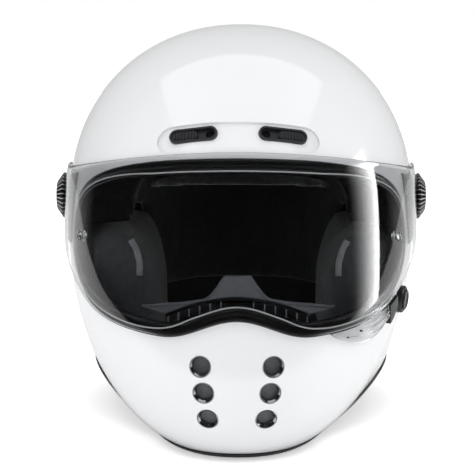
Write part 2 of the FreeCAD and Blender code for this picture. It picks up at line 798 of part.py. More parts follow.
def cheek_outline(grow):
    """Side-view prism of a cheek pad: its bottom follows the arch of the shell's edge."""
    front = -size("cheek_front") - grow
    rear = size("cheek_rear") + grow
    top = size("cheek_top") + grow
    block = side_prism(front, rear, 0.0, top, size("cheek_round") + grow)
    line = [(y, edge_height(y) + size("cheek_lift") - grow) for y in spaced(front - 5, rear + 5, 9)]
    curve = Part.BSplineCurve()
    curve.interpolate([Vector(-2 * size_half_width, y, z) for y, z in line])
    drop = Vector(0, 0, -THROUGH * 3)
    below = curve.toShape().extrude(drop).extrude(Vector(4 * size_half_width, 0, 0))
    return block.cut(below)


CROWN_START = 52.0
CHIN_END = 40.0


def make_crown_liner():
    """Foam liner over the crown, the back and the sides, with room for the cheek pads."""
    directions = arcs(180, CROWN_START, 49, size("liner_edge"), size("liner_lift"), 33)
    outer = layer(directions, -wall - seat, 0)[0]
    inner = head_layer(directions, size("lining_wall") + seat, 0)[0]
    liner = mirrored_slab(outer, inner)
    round_off = size("cheek_round")
    ahead = side_prism(
        -2 * size("cheek_front"), round_off - size("cheek_front"), -THROUGH, size("cheek_top") + 1, 1.0
    )
    return feature("crown_liner", liner.cut([cheek_outline(1.0), ahead, roll_block(1.0)]))


def make_chin_liner():
    """Foam liner inside the chin bar."""
    directions = arcs(0, CHIN_END, 31, size("liner_edge") + 2, size("trim_leg") + 2, 13)
    outer, inner = layer(directions, -wall - seat, -wall - seat - size("chin_liner_wall"))
    return feature("chin_liner", mirrored_slab(outer, inner))


# ---------------------------------------------------------------- soft pads

def make_crown_lining():
    """Quilted lining between the liner and the head."""
    directions = arcs(180, CROWN_START + 14, 41, size("liner_edge") + 6, size("liner_lift") + 12, 25)
    outer, inner = head_layer(directions, size("lining_wall"), 0.0)
    return feature("crown_lining", mirrored_slab(outer, inner).cut(cheek_outline(2.0)))


def make_brow_pad():
    """Soft band over the forehead, hanging below the front of the liner."""
    directions = []
    for turn in spaced(0, size("brow_pad_azimuth"), 13):
        droop = size("brow_pad_droop") * (turn / size("brow_pad_azimuth")) ** 2
        heights = spaced(size("brow_pad_bottom") - droop, size("brow_pad_top") - 1.9 * droop, 5)
        across, ahead = math.sin(math.radians(turn)), -math.cos(math.radians(turn))
        reach = size("head_half_length") + size("lining_wall")
        directions.append([unit(across, ahead, (z - PIVOT.z) / reach) for z in heights])
    outer, inner = head_layer(directions, size("lining_wall"), 0.0)
    return feature("brow_pad", mirrored_slab(outer, inner))


def corner_drop(distance, radius):
    """How far a rounded corner's edge lies below the straight one, at a distance from its end."""
    short = max(0.0, radius - distance)
    return radius - math.sqrt(radius**2 - short**2)


def make_cheek_pads():
    """Thick pads between the shell's sides and the cheeks, round at their four corners."""
    front, rear, corner = -size("cheek_front"), size("cheek_rear"), size("cheek_round")
    bulge = size("head_half_width") - size("cheek_gap")
    behind_gasket = size("gasket_grip") + 2 * seat
    outer, inner = [], []
    for y in spaced(front, rear, 41):
        drop = corner_drop(min(y - front, rear - y), corner)
        bottom = edge_height(y) + size("cheek_lift") + 0.6 * drop
        places = [(y, z) for z in spaced(bottom, size("cheek_top") - drop, 15)]
        share = max(0.0, min(1.0, (size("cheek_step") - y) / 14))
        depth = -wall - 4 * seat - behind_gasket * share**2 * (3 - 2 * share)
        outer.append([beside(y, z, depth) for y, z in places])
        spread = size("cheek_gap") + 6 * ((y + size("head_set_back")) / size("head_half_length")) ** 2
        inner.append([
            Vector(spread + 0.8 * bulge * max(0.0, (z - size("cheek_full")) / 40) ** 2, y, z)
            for y, z in places
        ])
    pad = slab(outer, inner).cut(strap_room())
    return feature("cheek_pad_left", pad), feature("cheek_pad_right", mirrored(pad))


def roll_block(grow):
    """Ring segment of the neck roll, grown on every side."""
    low = size("trim_leg") + size("roll_lift") - 4 * grow
    high = size("trim_leg") + size("roll_lift") + size("roll_height") + grow
    directions = []
    for theta in spaced(180, 104 - grow, 31):
        first = neck_share(theta, high)
        last = neck_share(theta, low)
        directions.append([arc_direction(theta, share) for share in spaced(first, last, 7)])
    outer, inner = layer(directions, -wall - 4 * seat + 3 * grow, -wall - size("roll_wall") - grow)
    return mirrored_slab(outer, inner)


def make_neck_roll():
    """Padded roll round the back of the neck opening."""
    return feature("neck_roll", roll_block(0.0).cut(cheek_outline(1.0)))


# ---------------------------------------------------------------- visor

VISOR_END = math.degrees(math.asin(size("visor_arm") / size("shell_half_width")))


def visor_top(azimuth):
    """Height of the visor's top edge: highest in the middle, at the arm's top beside the pivot."""
    share = math.sin(math.radians(min(azimuth, 90.0))) ** 2
    return size("visor_top") - (size("visor_top") - PIVOT.z - size("visor_arm")) * share


def visor_bottom(azimuth):
    """Height of the visor's bottom edge: along the eyeport, then up to the pivot."""
    corner = size("visor_corner")
    overlap = size("visor_overlap")
    if azimuth <= corner:
        return eyeport_bottom(azimuth, overlap)
    low = eyeport_bottom(corner, overlap)
    slope = low - eyeport_bottom(corner - 1, overlap)
    high = PIVOT.z - size("visor_arm")
    share = min(1.0, (azimuth - corner) / (90 - corner))
    rise = share**2 * (3 - 2 * share)
    return low + (high - low) * rise + slope * (90 - corner) * share * (1 - share) ** 2


def make_visor():
    """Clear moulding laid off the form, with an arm round each pivot."""
    gap = size("visor_gap")
    rows = []
    for azimuth in spaced(0, 90 + VISOR_END, 61):
        rows.append([(azimuth, z) for z in spaced(visor_bottom(azimuth), visor_top(azimuth), 13)])
    outer = [[at_height(a, z, gap + size("visor_wall")) for a, z in row] for row in rows]
    inner = [[at_height(a, z, gap) for a, z in row] for row in rows]
    visor = mirrored_slab(outer, inner)
    arm = size("visor_arm")
    disc = placed(rod(arm, -2 * size_half_width, 2 * size_half_width), across_frame(PIVOT.y, PIVOT.z, 0))
    rear = Part.makeBox(
        4 * size_half_width, 2 * arm, 4 * arm, Vector(-2 * size_half_width, PIVOT.y, PIVOT.z - 2 * arm)
    )
    bore = rod(size("hub_radius") + running, -2 * size_half_width, 2 * size_half_width)
    tools = [rear.cut(disc), placed(bore, across_frame(PIVOT.y, PIVOT.z, 0))]
    pin_bore = rod(size("insert_pin_radius") + running, -THROUGH / 4, THROUGH / 4)
    for frame in insert_pin_frames:
        tools.append(placed(pin_bore, frame))
    return feature("visor", visor.cut(tools))


def insert_pin_frame(side):
    point = at_height(side * size("insert_pin_azimuth"), size("insert_pin_height"))
    return frame_at(point, Vector(0, 0, 1))


insert_pin_frames = [insert_pin_frame(side) for side in (1, -1)]


def make_tab():
    """Clear finger tab that fills the corner below the visor's edge, with steps for the finger."""
    gap = size("visor_gap")
    start, end = size("tab_start"), size("tab_end")

    def low_edge(azimuth):
        share = (azimuth - start) / (size("hook_end") - start)
        return visor_bottom(azimuth) - size("tab_drop") * math.sin(math.pi * share) ** 0.8 - 0.4

    turns = spaced(start, end, 21)
    rows = [[(turn, z) for z in spaced(low_edge(turn), visor_bottom(turn) - fit, 7)] for turn in turns]
    outer, inner = [], []
    for row in rows:
        outer.append([at_height(a, z, gap + size("visor_wall")) for a, z in row])
        inner.append([at_height(a, z, gap) for a, z in row])
    tab = slab(outer, inner)
    steps = []
    for number in (1, 2):
        share = 0.32 * number
        step_rows = [
            [(turn, low_edge(turn) + (visor_bottom(turn) - low_edge(turn)) * s) for s in (share, share + 0.12)]
            for turn in spaced(start + 4 * number, end - 1, 13)
        ]
        top = [[at_height(a, z, gap + size("tab_wall")) for a, z in row] for row in step_rows]
        base = [[at_height(a, z, gap + 1.0) for a, z in row] for row in step_rows]
        steps.append(slab_by_loft(top, base))
    return feature("finger_tab", tab.fuse(steps))


def slab_by_loft(top, base):
    """Rib between two narrow strips, ruled along its length."""
    corners = [
        [row[0] for row in top], [row[-1] for row in top], [row[-1] for row in base],
        [row[0] for row in base],
    ]
    curves = []
    for points in corners:
        curve = Part.BSplineCurve()
        curve.interpolate(points)
        curves.append(curve)
    edges = [curve.toShape() for curve in curves]
    faces = [Part.makeRuledSurface(a, b) for a, b in zip(edges, edges[1:] + edges[:1])]
    for end in (0, -1):
        near, far = [Part.makeLine(corners[i][end], corners[j][end]) for i, j in ((0, 1), (3, 2))]
        faces.append(Part.makeRuledSurface(near, far))
    return sewn(faces)


def make_hook():
    """Black hook at the tab's rear end, with a tongue that reaches the lock button's collar."""
    gap = size("visor_gap") - 0.4
    start, end = size("tab_end"), size("hook_end")
    rows = []
    for turn in spaced(start + 0.1, end, 9):
        share = (turn - start) / (end - start)
        low = visor_bottom(turn) - size("tab_drop") * (1.05 - 0.45 * share**2)
        rows.append([(turn, z) for z in spaced(low, visor_bottom(turn) - fit - 0.6, 7)])
    outer = [[at_height(a, z, gap + size("hook_wall")) for a, z in row] for row in rows]
    inner = [[at_height(a, z, gap) for a, z in row] for row in rows]
    return feature("lock_hook", slab(outer, inner))


# ---------------------------------------------------------------- parametric bodies

def new_body(label):
    body = doc.addObject("PartDesign::Body", label)
    body.Label = label
    return body


def new_sketch(body, name, role):
    """Sketch on one of the body's own origin planes."""
    sketch = body.newObject("Sketcher::SketchObject", name)
    plane = next(item for item in body.Origin.OriginFeatures if item.Role == role)
    sketch.AttachmentSupport = [(plane, "")]
    sketch.MapMode = "FlatFace"
    return sketch


def bind(sketch, kind, places, expression):
    """Add a dimension to the sketch and bind it to the sheet."""
    value = float(sketch.evalExpression(expression))
    index = sketch.addConstraint(Sketcher.Constraint(kind, *places, value))
    sketch.renameConstraint(index, "d%d" % index)
    sketch.setExpression("Constraints.d%d" % index, expression)


def draw_outline(sketch, corners):
    """Closed outline whose corners are pairs of expressions of the sheet's values."""
    points = [Vector(*[float(sketch.evalExpression(term)) for term in corner], 0) for corner in corners]
    count = len(points)
    for index in range(count):
        sketch.addGeometry(Part.LineSegment(points[index], points[(index + 1) % count]))
    for index in range(count):
        sketch.addConstraint(Sketcher.Constraint("Coincident", index, 2, (index + 1) % count, 1))
    for index, (across, up) in enumerate(corners):
        bind(sketch, "DistanceX", (-1, 1, index, 1), across)
        bind(sketch, "DistanceY", (-1, 1, index, 1), up)


def draw_circle(sketch, radius, centre=("0", "0")):
    """Circle with its radius and centre bound to the sheet."""
    middle = Vector(*[float(sketch.evalExpression(term)) for term in centre], 0)
    value = float(sketch.evalExpression(radius))
    index = sketch.addGeometry(Part.Circle(middle, Vector(0, 0, 1), value))
    bind(sketch, "Radius", (index,), radius)
    bind(sketch, "DistanceX", (-1, 1, index, 3), centre[0])
    bind(sketch, "DistanceY", (-1, 1, index, 3), centre[1])
    return index


def revolve(body, corners):
    """Revolution about the body's Z axis of an outline in radius and height."""
    sketch = new_sketch(body, body.Name + "Section", "XZ_Plane")
    draw_outline(sketch, corners)
    turned = body.newObject("PartDesign::Revolution", body.Name + "Turned")
    turned.Profile = sketch
    turned.ReferenceAxis = (sketch, ["V_Axis"])
    turned.Angle = 360
    doc.recompute()
    return turned


def polar(body, base, name, copies):
    """Copies of a feature round the body's Z axis."""
    pattern = body.newObject("PartDesign::PolarPattern", name)
    pattern.Originals = [base]
    axis = next(item for item in body.Origin.OriginFeatures if item.Role == "Z_Axis")
    pattern.Axis = (axis, [""])
    pattern.Angle = 360
    pattern.Occurrences = copies
    body.Tip = pattern
    return pattern


def cut_down(body, sketch, name, expression):
    """Pocket below the sketch's plane, or above it when its depth has to run the other way."""
    pocket = body.newObject("PartDesign::Pocket", name)
    pocket.Profile = sketch
    pocket.setExpression("Length", expression)
    doc.recompute()
    return pocket


def copies_of(label, body, placements):
    """One node that holds identical pieces at several places."""
    return feature(label, Part.makeCompound([placed(body.Shape, place) for place in placements]))


def mirror_place(placement):
    """Placement of the same turned piece on the -X side."""
    base = Vector(-placement.Base.x, placement.Base.y, placement.Base.z)
    normal = placement.Rotation.multVec(Vector(0, 0, 1))
    across = placement.Rotation.multVec(Vector(1, 0, 0))
    turn = FreeCAD.Rotation(
        Vector(-across.x, across.y, across.z), Vector(0, 0, 0), Vector(-normal.x, normal.y, normal.z), "ZXY"
    )
    return FreeCAD.Placement(base, turn)


COVER_SLITS = 30


def make_pivot_covers():
    """Round cap over each pivot, its bevel slit all round."""
    places = {"left": 1, "right": -1}
    made = []
    for side, sign in places.items():
        body = new_body("pivot_cover_" + side)
        revolve(body, [
            ("0", "0"), ("Sizes.cover_radius - 1", "0"), ("Sizes.cover_radius", "1"),
            ("Sizes.cover_radius", "2.2"), ("Sizes.cover_face", "Sizes.cover_height"),
            ("Sizes.cover_face - 1.2", "Sizes.cover_height"),
            ("Sizes.cover_face - 2", "Sizes.cover_height - 0.7"), ("0", "Sizes.cover_height - 0.7"),
        ])
        sketch = new_sketch(body, body.Name + "Slit", "XY_Plane")
        draw_outline(sketch, [
            ("Sizes.cover_face + 0.8", "-Sizes.cover_fin / 2"),
            ("Sizes.cover_radius + 1", "-Sizes.cover_fin * 0.7"),
            ("Sizes.cover_radius + 1", "Sizes.cover_fin * 0.7"),
            ("Sizes.cover_face + 0.8", "Sizes.cover_fin / 2"),
        ])
        sketch.AttachmentOffset = FreeCAD.Placement(Vector(0, 0, 2.4), FreeCAD.Rotation())
        slit = body.newObject("PartDesign::Pocket", body.Name + "Slits")
        slit.Profile = sketch
        slit.Reversed = True
        slit.setExpression("Length", "Sizes.cover_height")
        doc.recompute()
        polar(body, slit, body.Name + "Round", COVER_SLITS)
        seat_x = size("shell_half_width") + size("visor_gap") + size("visor_wall") + seat
        turn = FreeCAD.Rotation(Vector(0, 1, 0), 90 * sign)
        body.Placement = FreeCAD.Placement(Vector(sign * seat_x, PIVOT.y, PIVOT.z), turn)
        made.append(body)
    return made


def make_pivot_plates():
    """Plate in the shell's recess, with the hub that carries the visor and a ratchet track."""
    arm = size("visor_arm") + 4
    front = size("plate_length") + 6
    sheet_part = visor_side_layer(
        PIVOT.y - front, PIVOT.y + arm, PIVOT.z - arm, PIVOT.z + arm, 0.0, fit - size("plate_depth")
    ).common(plate_outline(0.0))
    top = size("shell_half_width") + size("visor_gap") + size("visor_wall") + seat
    hub = placed(
        rod(size("hub_radius"), size("shell_half_width") - 1.5, top), across_frame(PIVOT.y, PIVOT.z, 0)
    )
    notches = []
    for angle in range(150, 231, 10):
        turn = math.radians(angle)
        y = PIVOT.y - size("ratchet_radius") * math.cos(turn)
        z = PIVOT.z + size("ratchet_radius") * math.sin(turn)
        notch = rod(size("notch_radius"), size("shell_half_width") - 2.2, top)
        notches.append(placed(notch, across_frame(y, z, 0)))
    bore = rod(size("plunger_radius") + fit, size("shell_half_width") - THROUGH / 4, top)
    notches.append(placed(bore, across_frame(*plunger_place, 0)))
    head = rod(size("screw_head") + fit, -0.9, THROUGH / 4)
    shank = rod(size("screw_shank") + fit, -THROUGH / 4, THROUGH / 4)
    for y, z in plate_screw_places:
        frame = frame_at(beside(y, z), Vector(0, 1, 0))
        notches += [placed(head, frame), placed(shank, frame)]
    plate = sheet_part.cut(notches).fuse(hub)
    return feature("pivot_plate_left", plate), feature("pivot_plate_right", mirrored(plate))


def make_screws():
    """Countersunk screws of the pivot plates, two a side."""
    body = new_body("screw_pattern")
    revolve(body, [
        ("0", "-Sizes.screw_length"), ("Sizes.screw_shank", "-Sizes.screw_length"),
        ("Sizes.screw_shank", "-0.9"), ("Sizes.screw_head", "-0.9"), ("Sizes.screw_head", "-0.3"),
        ("Sizes.screw_head - 0.5", "0"), ("0", "0"),
    ])
    sketch = new_sketch(body, "DriveSketch", "XY_Plane")
    draw_outline(sketch, [
        ("-Sizes.screw_head * 0.55", "-0.35"), ("Sizes.screw_head * 0.55", "-0.35"),
        ("Sizes.screw_head * 0.55", "0.35"), ("-Sizes.screw_head * 0.55", "0.35"),
    ])
    slot = cut_down(body, sketch, "DriveSlot", "0.5 mm")
    polar(body, slot, "CrossDrive", 4).Angle = 360
    doc.recompute()
    frames = [frame_at(beside(y, z), Vector(0, 1, 0)) for y, z in plate_screw_places]
    return copies_of("plate_screws", body, frames + [mirror_place(frame) for frame in frames])


def make_lock():
    """Knurled push button and the collar that guides it."""
    collar = new_body("lock_collar")
    revolve(collar, [
        ("Sizes.lock_radius + Sizes.running_gap", "-Sizes.shell_wall"),
        ("Sizes.lock_radius + Sizes.collar_wall", "-Sizes.shell_wall"),
        ("Sizes.lock_radius + Sizes.collar_wall", "Sizes.lock_proud - 2.2"),
        ("Sizes.lock_radius + Sizes.collar_wall - 0.9", "Sizes.lock_proud - 1.3"),
        ("Sizes.lock_radius + Sizes.running_gap", "Sizes.lock_proud - 1.3"),
    ])
    collar.Placement = lock_frame
    button = new_body("lock_button")
    revolve(button, [
        ("0", "Sizes.lock_stroke - Sizes.shell_wall"),
        ("Sizes.lock_radius", "Sizes.lock_stroke - Sizes.shell_wall"),
        ("Sizes.lock_radius", "Sizes.lock_proud - 0.8"),
        ("Sizes.lock_radius - 0.8", "Sizes.lock_proud"), ("Sizes.lock_radius - 2.2", "Sizes.lock_proud"),
        ("Sizes.lock_radius - 2.8", "Sizes.lock_proud - 0.6"), ("0", "Sizes.lock_proud - 0.6"),
    ])
    sketch = new_sketch(button, "KnurlSketch", "XY_Plane")
    draw_circle(sketch, "0.45 mm", ("Sizes.lock_radius + 0.1", "0"))
    sketch.AttachmentOffset = FreeCAD.Placement(Vector(0, 0, size("lock_proud") - 1.2), FreeCAD.Rotation())
    knurl = button.newObject("PartDesign::Pocket", "Knurl")
    knurl.Profile = sketch
    knurl.Reversed = True
    knurl.Length = 2
    doc.recompute()
    polar(button, knurl, "KnurlRound", 24)
    button.Placement = lock_frame
    return [collar, button]


def make_insert_pins():
    """Clear stepped pins on the visor that hold an inner lens; each turns in its bore."""
    made = []
    for side, frame in zip(("left", "right"), insert_pin_frames):
        body = new_body("insert_pin_" + side)
        revolve(body, [
            ("0", "Sizes.visor_gap - 2.4"), ("Sizes.insert_pin_head", "Sizes.visor_gap - 2.4"),
            ("Sizes.insert_pin_head", "Sizes.visor_gap - 1.3"),
            ("Sizes.insert_pin_radius", "Sizes.visor_gap - 1.3"),
            ("Sizes.insert_pin_radius", "Sizes.visor_gap + Sizes.visor_wall + 0.15"),
            ("Sizes.insert_pin_head - 0.5", "Sizes.visor_gap + Sizes.visor_wall + 0.15"),
            ("Sizes.insert_pin_head - 0.5", "Sizes.visor_gap + Sizes.visor_wall + 0.9"),
            ("Sizes.insert_pin_head - 1.3", "Sizes.visor_gap + Sizes.visor_wall + 1.5"),
            ("0", "Sizes.visor_gap + Sizes.visor_wall + 1.5"),
        ])
        sketch = new_sketch(body, body.Name + "Slot", "XY_Plane")
        half = "Sizes.insert_pin_radius * 0.75"
        draw_outline(sketch, [("-" + half, "-0.45"), (half, "-0.45"), (half, "0.45"), ("-" + half, "0.45")])
        lift = size("visor_gap") + size("visor_wall") + 0.9
        sketch.AttachmentOffset = FreeCAD.Placement(Vector(0, 0, lift), FreeCAD.Rotation())
        slot = body.newObject("PartDesign::Pocket", body.Name + "Drive")
        slot.Profile = sketch
        slot.Reversed = True
        slot.Length = 3
        doc.recompute()
        body.Placement = frame
        made.append(body)
    return made


# ---------------------------------------------------------------- chin ports and rear exhaust

def make_ports():
    """Metal rims and wire meshes of the chin ports and of the rear exhaust ports."""
    rim = new_body("rim_pattern")
    revolve(rim, [
        ("Sizes.port_bore", "-Sizes.shell_wall"), ("Sizes.port_radius", "-Sizes.shell_wall"),
        ("Sizes.port_radius", "-0.9"), ("Sizes.port_radius - 0.6", "-0.2"),
        ("Sizes.port_bore + 0.5", "-0.9"), ("Sizes.port_bore", "-1.5"),
    ])
    mesh = new_body("mesh_pattern")
    revolve(mesh, [
        ("0", "-Sizes.shell_wall"), ("Sizes.port_bore - Sizes.fit_gap", "-Sizes.shell_wall"),
        ("Sizes.port_bore - Sizes.fit_gap", "Sizes.mesh_wall - Sizes.shell_wall"),
        ("0", "Sizes.mesh_wall - Sizes.shell_wall + 1.6"),
    ])
    doc.recompute()
    copies_of("chin_port_rims", rim, port_frames)
    copies_of("chin_port_meshes", mesh, port_frames)
    copies_of("exhaust_rims", rim, exhaust_frames)
    copies_of("exhaust_meshes", mesh, exhaust_frames)


# ---------------------------------------------------------------- brow vents

def vent_stadium(length, width, bottom, top, shift=0.0):
    return placed(stadium(length, width, bottom, top), FreeCAD.Placement(Vector(shift, 0, 0), FreeCAD.Rotation()))


def make_brow_vents():
    """Frame in each slot of the shell, with a ribbed slider that closes its round inlet.

    The frame's X runs outwards from the middle of the brow; the inlet is at the inner end.
    """
    length, width = size("vent_length"), size("vent_width")
    rim = size("vent_wall")
    top = -0.9
    floor = top - 2 * rim
    inner_length = length - 2 * rim
    inner_width = width - 2 * rim
    inlet_x = -inner_length / 2 + inner_width / 2
    slider_x = inner_length / 2 - size("slider_length") / 2 - fit
    frame = vent_stadium(length, width, -size("vent_depth"), top)
    channel = vent_stadium(inner_length, inner_width, floor, 0)
    inlet = placed(rod(size("inlet_radius"), -THROUGH, THROUGH), FreeCAD.Placement(Vector(inlet_x, 0, 0), FreeCAD.Rotation()))
    ring = Part.makeCylinder(size("inlet_radius") + 0.6, 0.3, Vector(inlet_x, 0, floor))
    housing = frame.cut([channel]).fuse(ring).cut(inlet)
    copies_of_shape("brow_vent_frames", housing, vent_frames)
    low = floor + 0.3 + running
    plate = vent_stadium(size("slider_length"), inner_width - 2 * running, low, low + size("slider_wall"), slider_x)
    ribs = []
    count = 7
    pitch = (size("slider_length") - inner_width * 0.6) / (count - 1)
    for number in range(count):
        x = slider_x + (number - (count - 1) / 2) * pitch
        ribs.append(Part.makeBox(
            pitch * 0.45, inner_width * 0.62, size("rib_height") + 0.2,
            Vector(x - pitch * 0.225, -inner_width * 0.31, low + size("slider_wall") - 0.2),
        ))
    slider = plate.fuse(ribs)
    for side, frame_place in zip(("left", "right"), vent_frames):
        feature("brow_slider_" + side, slider, frame_place)


def copies_of_shape(label, shape, placements):
    return feature(label, Part.makeCompound([placed(shape, place) for place in placements]))


# ---------------------------------------------------------------- vent strip and deflector

def strip_front_y(x):
    """Front face of the vent strip and the foot of the deflector: a shallow arc."""
    return -size("strip_front") + x**2 / 150


def strip_top_z(x):
    return size("strip_top") - 4.0 * math.sin(math.pi / 2 * min(1.0, abs(x) / 44)) ** 2


def make_vent_strip():
    """Slotted strip along the top of the chin bar, behind the gasket."""
    half = size("strip_half_length")
    depth = size("strip_wall")
    stations = spaced(-half, half, 25)
    corners = []
    for back, drop in ((0, 0), (depth, 0), (depth, 1), (0, 1)):
        corners.append([
            Vector(x, strip_front_y(x) + back + (2.5 if drop == 0 else 0.0),
                   strip_top_z(x) - drop * size("strip_height"))
            for x in stations
        ])
    edges = []
    for points in corners:
        curve = Part.BSplineCurve()
        curve.interpolate(points)
        edges.append(curve.toShape())
    faces = [Part.makeRuledSurface(a, b) for a, b in zip(edges, edges[1:] + edges[:1])]
    for end in (0, -1):
        near, far = [Part.makeLine(corners[i][end], corners[j][end]) for i, j in ((0, 1), (3, 2))]
        faces.append(Part.makeRuledSurface(near, far))
    strip = sewn(faces)
    slot = size("strip_slot")
    pitch = size("strip_pitch")
    middle = 1.5 * pitch
    slots = []
    places = [side * (middle + pitch * (number + 0.5)) for side in (1, -1) for number in range(5)]
    for x in places:
        slots.append((x - slot / 2, slot))
    slots.append((-middle + (pitch - slot) / 2, 2 * middle - (pitch - slot)))
    tools = []
    for x, width in slots:
        height = size("strip_height") - 3.4
        low = strip_top_z(x + width / 2) - size("strip_height") + 1.7
        tools.append(Part.makeBox(width, 3 * THROUGH, height, Vector(x, -200, low)))
    return feature("chin_vent_strip", strip.cut(tools))


def make_deflector():
    """Breath deflector: a bowed plate with a raised middle and low wings."""
    foot = size("deflector_foot")
    span = size("deflector_span")
    tip = size("deflector_tip")
    top = size("deflector_top")
    low = size("strip_top") + seat

    def edge(x):
        share = (abs(x) - tip) / (foot - tip)
        if share <= 0:
            return top
        if share < 1:
            return top - (top - low - 3.5) * share**2 * (3 - 2 * share)
        return low + 3.5 - 4.5 * (abs(x) - foot) / (span - foot)

    stations = spaced(-span, span, 61)
    front, back = [], []
    for x in stations:
        foot_z = strip_top_z(x) + seat
        row = spaced(foot_z, max(edge(x), foot_z + 1.5), 7)
        lean = [(z - foot_z) * 0.75 for z in row]
        start = strip_front_y(x) + 2.8
        front.append([Vector(x, start + slope, z) for slope, z in zip(lean, row)])
        back.append([Vector(x, start + slope + size("deflector_wall"), z) for slope, z in zip(lean, row)])
    return feature("breath_deflector", slab(back, front))


# ---------------------------------------------------------------- straps

def anchor_frame():
    return frame_at(beside(size("strap_y"), size("anchor_height")), Vector(0, 1, 0))


def anchor_plate():
    """Steel plate bent to the shell's inner wall."""
    y, z, reach = size("strap_y"), size("anchor_height"), size("anchor_length")
    bent = visor_side_layer(
        y - reach, y + reach, z - reach, z + reach, -wall - fit, -wall - fit - size("anchor_wall")
    )
    outline = stadium(reach, size("anchor_width"), -3 * wall, 0)
    return bent.common(placed(outline, anchor_frame()))


def strap_line(offset):
    """Points of the webbing's path in the front view, moved towards the middle by offset."""
    y = size("strap_y")
    lift = -wall - 2 * fit - size("anchor_wall") - size("strap_clear") - offset
    low = edge_height(y) + size("trim_leg") + 5
    points = [beside(y, z, lift) for z in spaced(size("anchor_height") + 8, low, 4)]
    loop_z = 6 + offset * 0.9
    start, end = points[-1], size("strap_end") + 4
    for share, drop in ((0.36, 0.43), (0.7, 0.82), (1.0, 1.0)):
        points.append(Vector(start.x + (end - start.x) * share, y, start.z + (loop_z - start.z) * drop))
    return [Vector(point.x, 0, point.z) for point in points]


def ribbon(near, far, width):
    """Webbing between two offsets of its path."""
    curves = []
    for offset in (near, far):
        curve = Part.BSplineCurve()
        curve.interpolate(strap_line(offset))
        curves.append(curve.toShape())
    ends = [
        Part.makeLine(curves[0].valueAt(at), curves[1].valueAt(to))
        for at, to in zip(curves[0].ParameterRange, curves[1].ParameterRange)
    ]
    outline = Part.Wire(Part.__sortEdges__([curves[0], ends[1], curves[1], ends[0]]))
    band = Part.Face(outline).extrude(Vector(0, width, 0))
    band.translate(Vector(0, size("strap_y") - width / 2, 0))
    return band


def strap_room():
    """Channel that a cheek pad leaves for the webbing, its anchor and its rivet."""
    room = ribbon(-size("anchor_wall") - 1.6, size("strap_wall") + 1.8, size("strap_width") + 6)
    block = stadium(size("anchor_length") + 4, size("anchor_width") + 8, -wall - 7.4, 0)
    return room.fuse(placed(block, anchor_frame()))


def ring_axis():
    return Vector(size("strap_end"), size("strap_y"), 6.2)


def make_straps():
    """Webbing, one half a side; each ends in a sewn loop."""
    radius = 2 * size("ring_wire") + 0.5
    band = ribbon(0.0, size("strap_wall"), size("strap_width"))
    width = size("strap_width") - 2
    place = FreeCAD.Placement(
        ring_axis() - Vector(0, width / 2, 0), FreeCAD.Rotation(Vector(1, 0, 0), -90)
    )
    loop = placed(rod(radius + size("strap_wall"), 0, width), place)
    bore = placed(rod(radius, -THROUGH, 2 * THROUGH), place)
    hole = placed(rod(size("rivet_shank") + fit, -THROUGH / 2, THROUGH / 2), anchor_frame())
    strap = band.fuse(loop).cut([bore, hole])
    plate = anchor_plate().cut(hole)
    feature("strap_left", strap)
    feature("strap_right", mirrored(strap))
    feature("strap_anchors", Part.makeCompound([plate, mirrored(plate)]))


def make_rivets():
    body = new_body("rivet_pattern")
    shank = "-Sizes.shell_wall - Sizes.anchor_wall - Sizes.strap_clear - Sizes.strap_wall - 5 * Sizes.fit_gap"
    revolve(body, [
        ("0", "-Sizes.shell_wall * 0.4"), ("Sizes.rivet_shank", "-Sizes.shell_wall * 0.4"),
        ("Sizes.rivet_shank", shank), ("Sizes.rivet_head", shank),
        ("Sizes.rivet_head - 0.6", shank + " - 0.8"), ("0", shank + " - 1.1"),
    ])
    frames = [anchor_frame(), mirror_place(anchor_frame())]
    return copies_of("strap_rivets", body, frames)


def make_d_rings():
    """Pair of D rings, one above the other, their bars inside the left strap's loop."""
    wire = size("ring_wire")
    half = size("strap_width") / 2 + wire + 0.5
    reach = size("ring_reach")
    corner = 3.0
    up = Vector(0, 0, 1)
    # straight runs and bends of the wire in turn, each from its start: heading, length or centre
    runs = (
        (Vector(0, corner - half, 0), Vector(0, 2 * (half - corner), 0)),
        (Vector(-corner, half, 0), Vector(half - reach + corner, 0, 0)),
        (Vector(half - reach, -half, 0), Vector(reach - half - corner, 0, 0)),
    )
    bends = (
        (Vector(0, half - corner, 0), Vector(0, 1, 0), Vector(-corner, half - corner, 0), 90),
        (Vector(half - reach, half, 0), Vector(-1, 0, 0), Vector(half - reach, 0, 0), 180),
        (Vector(-corner, -half, 0), Vector(1, 0, 0), Vector(-corner, corner - half, 0), 90),
    )

    def section(start, heading):
        return Part.Face(Part.Wire(Part.makeCircle(wire, start, heading)))

    pieces = [section(start, run).extrude(run) for start, run in runs]
    pieces += [
        section(start, heading).revolve(centre, up, angle) for start, heading, centre, angle in bends
    ]
    ring = pieces[0].fuse(pieces[1:])
    rings = []
    for lift in (wire + 0.15, -wire - 0.15):
        rings.append(placed(ring, FreeCAD.Placement(ring_axis() + Vector(0, 0, lift), FreeCAD.Rotation())))
    return feature("d_rings", Part.makeCompound(rings))


def make_snaps():
    """Studs that hold the cheek pads to the shell, three a side."""
    stud = rod(size("snap_radius") - 1, -wall - 3.5 * seat, -wall - 2 * fit)
    places = (
        (size("cheek_step") + 8, size("cheek_top") - 22), (size("cheek_rear") - 14, size("cheek_top") - 22),
        (size("cheek_step") + 8, size("cheek_top") - 64),
    )
    studs = [placed(stud, frame_at(beside(y, z), Vector(0, 1, 0))) for y, z in places]
    return feature("pad_snaps", Part.makeCompound(studs + [mirrored(one) for one in studs]))


